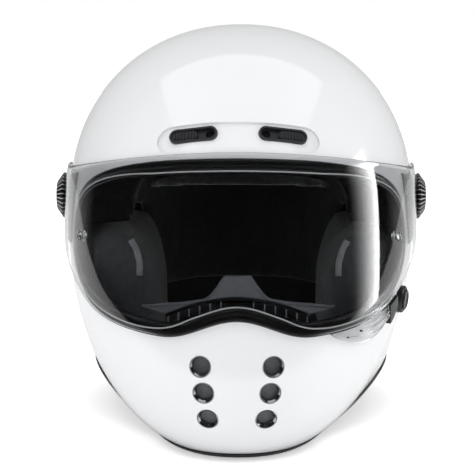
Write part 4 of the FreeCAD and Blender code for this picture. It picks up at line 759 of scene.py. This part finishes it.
def visor_bottom(azimuth):
    """Height of the visor's bottom edge: along the eyeport to the corner, then a cubic that leaves
    with the eyeport's slope and ends level at the arm's foot under the pivot."""
    stretch = 90 - VISOR_CORNER
    front = eyeport_bottom(np.minimum(azimuth, VISOR_CORNER), VISOR_OVERLAP)
    corner, before = eyeport_bottom(np.array([VISOR_CORNER, VISOR_CORNER - 1]), VISOR_OVERLAP)
    share = np.clip((azimuth - VISOR_CORNER) / stretch, 0, 1)
    foot = PIVOT[2] - sizes().visor_arm
    rear = corner + (foot - corner) * share**2 * (3 - 2 * share)
    rear += (corner - before) * stretch * share * (1 - share) ** 2
    return np.where(azimuth <= VISOR_CORNER, front, rear)


def make_visor():
    """Clear visor: for every azimuth a closed section, up the outer face and down the inner one.

    Behind the pivots the section shrinks with the circle of the arm's end.
    """
    s = sizes()
    half_wall = s.visor_wall / 2
    end = math.degrees(math.asin(s.visor_arm / s.half_width))
    azimuth = np.linspace(-1, 1, 241) * (90 + end)
    turn = np.abs(azimuth)
    behind = np.maximum(0, np.sin(np.radians(turn - 90)) * s.half_width)
    half = np.sqrt(np.maximum(s.visor_arm**2 - behind**2, 0))
    top = np.where(turn > 90, PIVOT[2] + half, visor_top(turn))
    bottom = np.where(turn > 90, PIVOT[2] - half, visor_bottom(turn))
    shares, beyond, through = plate_section(33, 7)
    low, high = bottom + half_wall, np.maximum(top - half_wall, bottom + half_wall)
    heights = low[:, None] + (high - low)[:, None] * shares[None, :] + half_wall * beyond[None, :]
    offsets = s.visor_gap + half_wall * (1 + through)
    points = at_height(azimuth[:, None], heights, offsets[None, :])
    visor = grid_object("clear_visor", points)
    finish(visor, clear_polycarbonate("clear_polycarbonate"), "visor", "clear_plastic", "visor")


def make_visor_fittings():
    """Finger tab, hook and lens pins keep their shapes and get smooth normals and finishes."""
    tab = copy_of("clear_finger_tab", "finger_tab")
    follow_form(tab, 0.9)
    finish(tab, clear_polycarbonate("clear_polycarbonate_tab"), "visor", "clear_plastic", "finger_tab")
    dress(moulded_plastic("moulded_hook_plastic", colours().plastic, 0.3), "lock_hook")
    dress(clear_polycarbonate("clear_pin_plastic", 0.05), "insert_pin_left", "insert_pin_right")


# ------------ mechanism, ports and vents

def make_arm_plates():
    """Ribbed plate under each arm of the visor, between the eyeport and the pivot.

    Heights run between two curves of the azimuth; the section across is a thin plate on the shell.
    """
    first, last = 59.5, 83
    azimuth = np.linspace(first, last, 23)
    taper = 3 * MM * (azimuth - first) / (last - first)
    low, high = 127 * MM + taper, visor_top(azimuth) - 5 * MM - taper
    shares, _, through = plate_section(15, 5)
    offsets = (0.45 + 0.4 * through) * MM
    heights = low[:, None] + (high - low)[:, None] * shares[None, :]
    plate = foil_plate()
    for name, side in (("arm_plate_left", 1), ("arm_plate_right", -1)):
        points = at_height(side * azimuth[:, None], heights, offsets[None, :])
        finish(grid_object(name, points), plate, "helmet", "plastic_dark")


def make_mechanism():
    """Materials of the pivot covers, plates, screws, plungers, collar and button."""
    dress(slit_cover(), "pivot_cover_left", "pivot_cover_right")
    plate = moulded_plastic("moulded_plate_plastic", linear("2A2B2E"), 0.45)
    dress(plate, "pivot_plate_left", "pivot_plate_right")
    dress(turned_steel("turned_screw_steel"), "plate_screws", "detent_plungers")
    dress(moulded_plastic("moulded_lock_plastic", colours().plastic, 0.35), "lock_collar", "lock_button")


def make_ports():
    """Materials of the ports' rims and meshes and of the brow vents."""
    dress(turned_steel("turned_rim_steel", 0.16), "chin_port_rims", "exhaust_rims")
    dress(woven_wire(), "chin_port_meshes", "exhaust_meshes")
    vent = moulded_plastic("moulded_vent_plastic", linear("232427"), 0.35)
    dress(vent, "brow_vent_frames", "brow_slider_left", "brow_slider_right")


# ------------ lining and straps

def apply_modifiers(piece):
    """Make the piece's modified shape its own mesh."""
    graph = bpy.context.evaluated_depsgraph_get()
    mesh = bpy.data.meshes.new_from_object(piece.evaluated_get(graph))
    piece.modifiers.clear()
    piece.data = mesh


def blow_up(piece, cap, pressure):
    """Let cloth pressure swell a pad for 20 frames, then keep each point within cap of its start."""
    start = vertex_places(piece.data)
    cloth = piece.modifiers.new("cloth", "CLOTH")
    cloth.settings.use_pressure = True
    cloth.settings.uniform_pressure_force = pressure
    cloth.settings.effector_weights.gravity = 0
    for number in range(1, 21):
        bpy.context.scene.frame_set(number)
    apply_modifiers(piece)
    move = vertex_places(piece.data) - start
    far = np.linalg.norm(move, axis=1, keepdims=True)
    places = start + move * np.minimum(1, cap / np.maximum(far, 1e-9))
    piece.data.vertices.foreach_set("co", places.ravel())
    bpy.context.scene.frame_set(1)


def swell(piece, voxel, cap, pressure):
    """Even mesh of a pad, blown up with cloth pressure and smoothed."""
    remesh = piece.modifiers.new("remesh", "REMESH")
    remesh.mode = "VOXEL"
    remesh.voxel_size = voxel
    apply_modifiers(piece)
    blow_up(piece, cap, pressure)
    smooth = piece.modifiers.new("even", "SMOOTH")
    smooth.factor = 0.5
    smooth.iterations = 3
    finer = piece.modifiers.new("finer", "SUBSURF")
    finer.levels = finer.render_levels = 1
    apply_modifiers(piece)
    shade_smooth(piece.data)


def shrink(piece, centre, distance):
    """Move every point of a pad a distance towards the pad's centre."""
    places = vertex_places(piece.data)
    piece.data.vertices.foreach_set("co", (places + unit(centre - places) * distance).ravel())


def make_piping(pad, node):
    """Pale sewn edge down the front inner corner of a cheek pad.

    At each height the corner is the point furthest forward and inward; a running mean of seven
    evens the line out, and an oval is swept along it.
    """
    places = vertex_places(pad.data)
    low, high = places[:, 2].min(), places[:, 2].max()
    heights = np.linspace(low + 0.72 * (high - low), high - 0.05 * (high - low), 16)
    reach = -places[:, 1] - 0.9 * np.abs(places[:, 0])
    near = np.abs(places[None, :, 2] - heights[:, None]) < 4 * MM
    path = places[np.argmax(np.where(near, reach[None, :], -1.0), axis=1)]
    path[:, 2] = heights
    ends = np.pad(path, ((3, 3), (0, 0)), mode="edge")
    path = np.stack([ends[i:i + len(path)] for i in range(7)]).mean(0)
    along = unit(np.gradient(path, axis=0))
    across = unit(np.cross(along, [0.0, 1.0, 0.0]))
    turn = np.linspace(0, 2 * math.pi, 12, endpoint=False)
    oval = np.stack([2.2 * np.cos(turn), 0.8 * np.sin(turn)], -1) * MM
    piping = sweep(node + "_piping", path, across, unit(np.cross(across, along)), oval)
    finish(piping, knitted_cloth("sewn_edge_binding", linear("8A8C90"), 1 * MM), "helmet", "cloth_grey")


def make_pads():
    """Cheek pads, brow pad, neck roll and crown lining, swollen like sewn covers over foam."""
    # the grey cloth's colour carries painted light: it is paler than the real cloth
    grey = knitted_cloth("brushed_knitted_cloth", colours().cloth)
    black = knitted_cloth("smooth_knitted_lining", colours().lining, 1 * MM)
    for node, material, slot, voxel, cap in (
        ("cheek_pad_left", grey, "cloth_grey", 5 * MM, 5 * MM),
        ("cheek_pad_right", grey, "cloth_grey", 5 * MM, 5 * MM),
        ("brow_pad", black, "cloth_black", 3 * MM, 1 * MM),
        ("neck_roll", grey, "cloth_grey", 5 * MM, 4 * MM),
    ):
        pad = copy_of(node + "_cushion", node)
        shrink(pad, np.mean(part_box(node), axis=0), min(cap, 3 * MM))
        swell(pad, voxel, cap, 4.0)
        finish(pad, material, "helmet", slot, node)
        if node.startswith("cheek"):
            make_piping(pad, node)
    lining = copy_of("crown_lining_cloth", "crown_lining")
    swell(lining, 5 * MM, 0.5 * MM, 1.0)
    finish(lining, black, "helmet", "cloth_black", "crown_lining")


def strip_front(x):
    """Front of the vent strip, a shallow arc across the chin bar."""
    return -145.7 * MM + x**2 / (150 * MM)


def strip_height(x):
    """Top of the vent strip: it falls with the eyeport's lower edge, by the power 1.8 of x."""
    return STRIP_TOP - STRIP_FALL * np.minimum(np.abs(x) / STRIP_HALF, 1) ** 1.8


def make_vent_strip():
    """Two rails across the chin bar with thin ribs between them, and a wide gap at the middle."""
    x = np.linspace(-STRIP_HALF, STRIP_HALF, 61)
    path = np.stack([x, strip_front(x) + 3.5 * MM, strip_height(x)], -1)
    across, above = np.tile([0.0, 1.0, 0.0], (61, 1)), np.tile([0.0, 0.0, 1.0], (61, 1))
    bar = rounded_box(2.4 * MM, 0.85 * MM, 0.5 * MM)
    rails = [sweep("rail", path - above * drop, across, above, bar) for drop in (0.85 * MM, 8.15 * MM)]
    strip = joined("vent_strip_rails", rails)
    shade_smooth(strip.data)
    black = moulded_plastic("moulded_strip_plastic", linear("101113"), 0.35)
    finish(strip, black, "helmet", "plastic_black", "chin_vent_strip")
    bar = rounded_box(0.45 * MM, 2 * MM, 0.3 * MM, 2)
    across, above = np.tile([1.0, 0.0, 0.0], (2, 1)), np.tile([0.0, 1.0, 0.0], (2, 1))
    ribs = []
    for side in (1, -1):
        for number in range(6):
            middle = side * (10.2 + 6.8 * number) * MM
            foot = np.array([middle, strip_front(middle) + 3.4 * MM, strip_height(middle) - 7.6 * MM])
            ribs.append(sweep("rib", np.stack([foot, foot + [0, 0, 6.2 * MM]]), across, above, bar))
    pale = moulded_plastic("moulded_rib_plastic", linear("9A9DA1"), 0.35)
    finish(joined("vent_strip_ribs", ribs), pale, "helmet", "plastic_black")


def deflector_top(far):
    """Top of the deflector at distances from its middle: a bell over the nose, then low wings."""
    share = np.clip((far - 8 * MM) / (16 * MM), 0, 1)
    bell = 119 - 14.5 * (1 - (1 - share) ** 2) ** 1.35
    wing = 104.5 - 8.5 * np.clip((far - 24 * MM) / (38 * MM), 0, 1) ** 0.9
    return np.where(far < 24 * MM, bell, wing) * MM


def make_deflector():
    """Breath deflector of coated cloth on the vent strip.

    Every section across it is a plate with a half-round top that leans back as it rises.
    """
    x = np.linspace(-62, 62, 125) * MM
    far = np.abs(x)
    low = strip_height(x) + 0.3 * MM + 0.12 * np.maximum(far - STRIP_HALF, 0)
    top = np.maximum(deflector_top(far), low + 1.2 * MM)
    wall = 1.1 * MM
    rise = np.linspace(0, 1, 15)
    cap = np.linspace(0, math.pi, 9)[1:-1]
    height = np.concatenate([rise, 1 + 0 * cap, rise[::-1]])
    depth = np.concatenate([0 * rise - 1, -np.cos(cap), 0 * rise + 1])
    crest = np.concatenate([0 * rise, np.sin(cap), 0 * rise])
    z = low[:, None] + (top - low - wall)[:, None] * height[None, :] + wall * crest[None, :]
    lean = 0.75 * (z - low[:, None]) + 1.5 * MM * np.sin(math.pi * height)[None, :]
    y = strip_front(x)[:, None] + 4 * MM + lean + wall * depth[None, :]
    points = np.stack([np.broadcast_to(x[:, None], z.shape), y, z], -1)
    deflector = grid_object("breath_deflector_cloth", points)
    finish(deflector, leathercloth(), "helmet", "leather_grey", "breath_deflector")


def make_inner_trim():
    """Materials of the liners, the vent strip, the deflector, the snaps and the chin strap."""
    dress(bead_foam(), "crown_liner", "chin_liner")
    make_vent_strip()
    make_deflector()
    dress(moulded_plastic("moulded_snap_plastic", colours().plastic, 0.5), "pad_snaps")
    dress(woven_webbing(), "strap_left", "strap_right")
    dress(turned_steel("zinc_plated_steel", 0.3), "strap_anchors", "strap_rivets", "d_rings")


# ------------ stage

def aim(thing, place, target):
    """Put a camera or a lamp at a place and turn its -Z axis to the target."""
    back = unit(np.subtract(place, target))
    right = unit(np.cross([0.0, 0.0, 1.0], back))
    matrix = np.eye(4)
    matrix[:3] = np.stack([right, np.cross(back, right), back, place], -1)
    thing.matrix_world = Matrix(matrix.tolist())


def area_lamp(name, place, width, height, power):
    """Soft rectangular lamp that faces the helmet's middle."""
    data = bpy.data.lights.new(name, "AREA")
    data.shape = "RECTANGLE"
    data.size, data.size_y = width, height
    data.energy = power
    lamp = put_in_scene(name, data)
    aim(lamp, place, (0, 0, 140 * MM))
    return lamp


def fade(lamp, strength):
    """Softbox that is dark at one upright edge and bright at the other: the square of the share
    across."""
    lamp.data.use_nodes = True
    tree = lamp.data.node_tree
    place = add(tree, "NewGeometry").outputs["Parametric"]
    split = add(tree, "SeparateXYZ", {"Vector": place})
    across = add(tree, "Math", {0: split.outputs["X"], 1: 2.0}, operation="POWER")
    level = add(tree, "Math", {0: across, 1: strength}, operation="MULTIPLY")
    tree.links.new(level.outputs[0], tree.nodes["Emission"].inputs["Strength"])


def seen(tree):
    """Two switches: 1 for rays from the camera, also through glass, and 1 for rays that have met
    glass or a mirror. Rays that light a surface get 0 from both, also inside the visor."""
    path = add(tree, "LightPath").outputs
    undiffused = add(tree, "Math", {0: path["Diffuse Depth"], 1: 1.0}, operation="LESS_THAN")
    unmirrored = add(tree, "Math", {0: path["Glossy Depth"], 1: 1.0}, operation="LESS_THAN")
    direct = add(tree, "Math", {0: undiffused, 1: unmirrored}, operation="MULTIPLY")
    through = add(tree, "Math", {0: path["Is Transmission Ray"], 1: direct}, operation="MULTIPLY")
    straight = add(tree, "Math", {0: path["Is Camera Ray"], 1: through}, operation="MAXIMUM")
    glass, mirror = path["Is Transmission Ray"], path["Is Glossy Ray"]
    met = add(tree, "Math", {0: mirror, 1: glass}, operation="MAXIMUM")
    bent = add(tree, "Math", {0: met, 1: undiffused}, operation="MULTIPLY")
    return straight, bent


def make_world():
    """Pale surround: pure white behind the object, and dark ahead of it in mirror-like surfaces."""
    world = bpy.data.worlds.new("pale_surround")
    bpy.context.scene.world = world
    world.use_nodes = True
    tree = world.node_tree
    tree.nodes.clear()
    straight, bent = seen(tree)
    direction = add(tree, "TexCoord").outputs["Generated"]
    along = add(tree, "SeparateXYZ", {"Vector": direction}).outputs["Y"]
    mirrored = add(tree, "MapRange", {
        "Value": along, "From Min": 0.4, "From Max": 1.0, "To Min": 0.01, "To Max": 0.6,
    })
    unseen = add(tree, "Mix", {0: bent, 2: 0.7, 3: mirrored}, data_type="FLOAT")
    strength = add(tree, "Mix", {0: straight, 2: unseen, 3: 1.0}, data_type="FLOAT")
    shader = add(tree, "Background", {"Color": linear("FFFFFF"), "Strength": strength})
    add(tree, "OutputWorld", {"Surface": shader})


def make_floor():
    """White floor that keeps the helmet's shadow and runs to pure white away from it.

    The glow that whitens it is added for rays from the camera only; glass and mirrors see paper
    that is dark ahead of the helmet.
    """
    corners = np.array([(-1, -1, 0), (1, -1, 0), (1, 1, 0), (-1, 1, 0)]) * 3.0
    floor = new_object("studio_floor", corners, [(0, 1, 2, 3)])
    white = linear("FFFFFF")
    material, tree, shader = new_material("white_paper_floor", white, 0.9, Specular_IOR_Level=0.0)
    straight, bent = seen(tree)
    place = add(tree, "TexCoord").outputs["Object"]
    ahead = add(tree, "SeparateXYZ", {"Vector": place}).outputs["Y"]
    reach = add(tree, "VectorMath", {0: place}, operation="LENGTH").outputs["Value"]
    whiten = add(tree, "MapRange", {
        "Value": reach, "From Min": 0.15, "From Max": 0.6, "To Min": 0.45, "To Max": 1.0,
    })
    glow = add(tree, "Math", {0: straight, 1: whiten}, operation="MULTIPLY")
    mirrored = add(tree, "MapRange", {
        "Value": ahead, "From Min": -0.6, "From Max": -0.35, "To Min": 0.05, "To Max": 0.9,
    })
    paper = add(tree, "Mix", {0: bent, 2: 0.9, 3: mirrored}, data_type="FLOAT")
    colour = add(tree, "CombineColor", {"Red": paper, "Green": paper, "Blue": paper})
    tree.links.new(colour.outputs[0], shader.inputs["Base Color"])
    lit = add(tree, "Emission", {"Color": white, "Strength": glow})
    total = add(tree, "AddShader", {0: shader, 1: lit})
    tree.links.new(total.outputs[0], tree.nodes["Material Output"].inputs["Surface"])
    floor.data.materials.append(material)


def make_camera():
    """Long lens, a little above the eyeport and a degree to the wearer's left."""
    target = np.array([0, PIVOT[1] - 3 * MM, 120 * MM])
    rise, turn, distance = math.radians(10), math.radians(0.9), 1.05
    back = np.array([math.sin(turn) * math.cos(rise), -math.cos(turn) * math.cos(rise), math.sin(rise)])
    data = bpy.data.cameras.new("camera")
    data.lens = 110
    data.sensor_width = 36
    data.shift_x = -0.0084
    camera = put_in_scene("camera", data)
    aim(camera, target + back * distance, target)
    bpy.context.scene.camera = camera


def make_stage():
    """Camera, white surround, floor and soft lamps; the two fills show in no glass or lacquer."""
    make_camera()
    make_world()
    make_floor()
    area_lamp("top_softbox", (0, -0.1, 1.6), 2.0, 2.0, 9.0)
    fade(area_lamp("right_softbox", (1.15, -0.05, 0.27), 0.50, 0.8, 2.6), 5.0)
    fills = (
        area_lamp("left_fill", (-1.1, -0.2, 0.4), 0.6, 0.9, 2.0),
        area_lamp("front_fill", (0, -1.3, 0.02), 1.6, 0.6, 4.5),
    )
    for lamp in fills:
        lamp.visible_glossy = lamp.visible_transmission = False
    bpy.context.scene.view_settings.view_transform = "Standard"


# ------------ operators and panel

class HELMET_OT_shell(bpy.types.Operator):
    """Make the lacquered shell"""

    bl_idname = "helmet.shell"
    bl_label = "Shell"

    def execute(self, context):
        make_shell()
        return {"FINISHED"}


class HELMET_OT_rubber(bpy.types.Operator):
    """Make the eyeport gasket and the neck trim"""

    bl_idname = "helmet.rubber"
    bl_label = "Rubber Edges"

    def execute(self, context):
        make_gasket()
        make_trim()
        return {"FINISHED"}


class HELMET_OT_visor(bpy.types.Operator):
    """Make the clear visor and finish its fittings"""

    bl_idname = "helmet.visor"
    bl_label = "Visor"

    def execute(self, context):
        make_visor()
        make_visor_fittings()
        return {"FINISHED"}


class HELMET_OT_mechanism(bpy.types.Operator):
    """Finish the pivots, the lock, the ports and the brow vents"""

    bl_idname = "helmet.mechanism"
    bl_label = "Mechanism and Vents"

    def execute(self, context):
        make_arm_plates()
        make_mechanism()
        make_ports()
        return {"FINISHED"}


class HELMET_OT_lining(bpy.types.Operator):
    """Make the pads and the lining, and finish the liners and straps"""

    bl_idname = "helmet.lining"
    bl_label = "Lining and Straps"

    def execute(self, context):
        make_pads()
        make_inner_trim()
        return {"FINISHED"}


class HELMET_OT_stage(bpy.types.Operator):
    """Make the camera, the surround, the floor and the lamps"""

    bl_idname = "helmet.stage"
    bl_label = "Stage"

    def execute(self, context):
        make_stage()
        return {"FINISHED"}


class HELMET_PT_panel(bpy.types.Panel):
    """Sizes, colours and makers of the helmet"""

    bl_label = "Full-Face Helmet"
    bl_idname = "HELMET_PT_panel"
    bl_space_type = "VIEW_3D"
    bl_region_type = "UI"
    bl_category = "Helmet"

    def draw(self, context):
        for group in (context.scene.helmet_sizes, context.scene.helmet_colours):
            for name in group.__annotations__:
                self.layout.prop(group, name)
        for operator in OPERATORS:
            self.layout.operator(operator.bl_idname)


OPERATORS = (
    HELMET_OT_stage, HELMET_OT_shell, HELMET_OT_rubber, HELMET_OT_visor, HELMET_OT_mechanism,
    HELMET_OT_lining,
)
CLASSES = (HelmetSizes, HelmetColours) + OPERATORS + (HELMET_PT_panel,)


def register():
    for one in CLASSES:
        bpy.utils.register_class(one)
    bpy.types.Scene.helmet_sizes = bpy.props.PointerProperty(type=HelmetSizes)
    bpy.types.Scene.helmet_colours = bpy.props.PointerProperty(type=HelmetColours)


def unregister():
    del bpy.types.Scene.helmet_sizes
    del bpy.types.Scene.helmet_colours
    for one in reversed(CLASSES):
        bpy.utils.unregister_class(one)


def main():
    """Make every group of pieces in turn."""
    register()
    for operator in OPERATORS:
        group, name = operator.bl_idname.split(".")
        getattr(getattr(bpy.ops, group), name)()


if __name__ == "__main__":
    main()
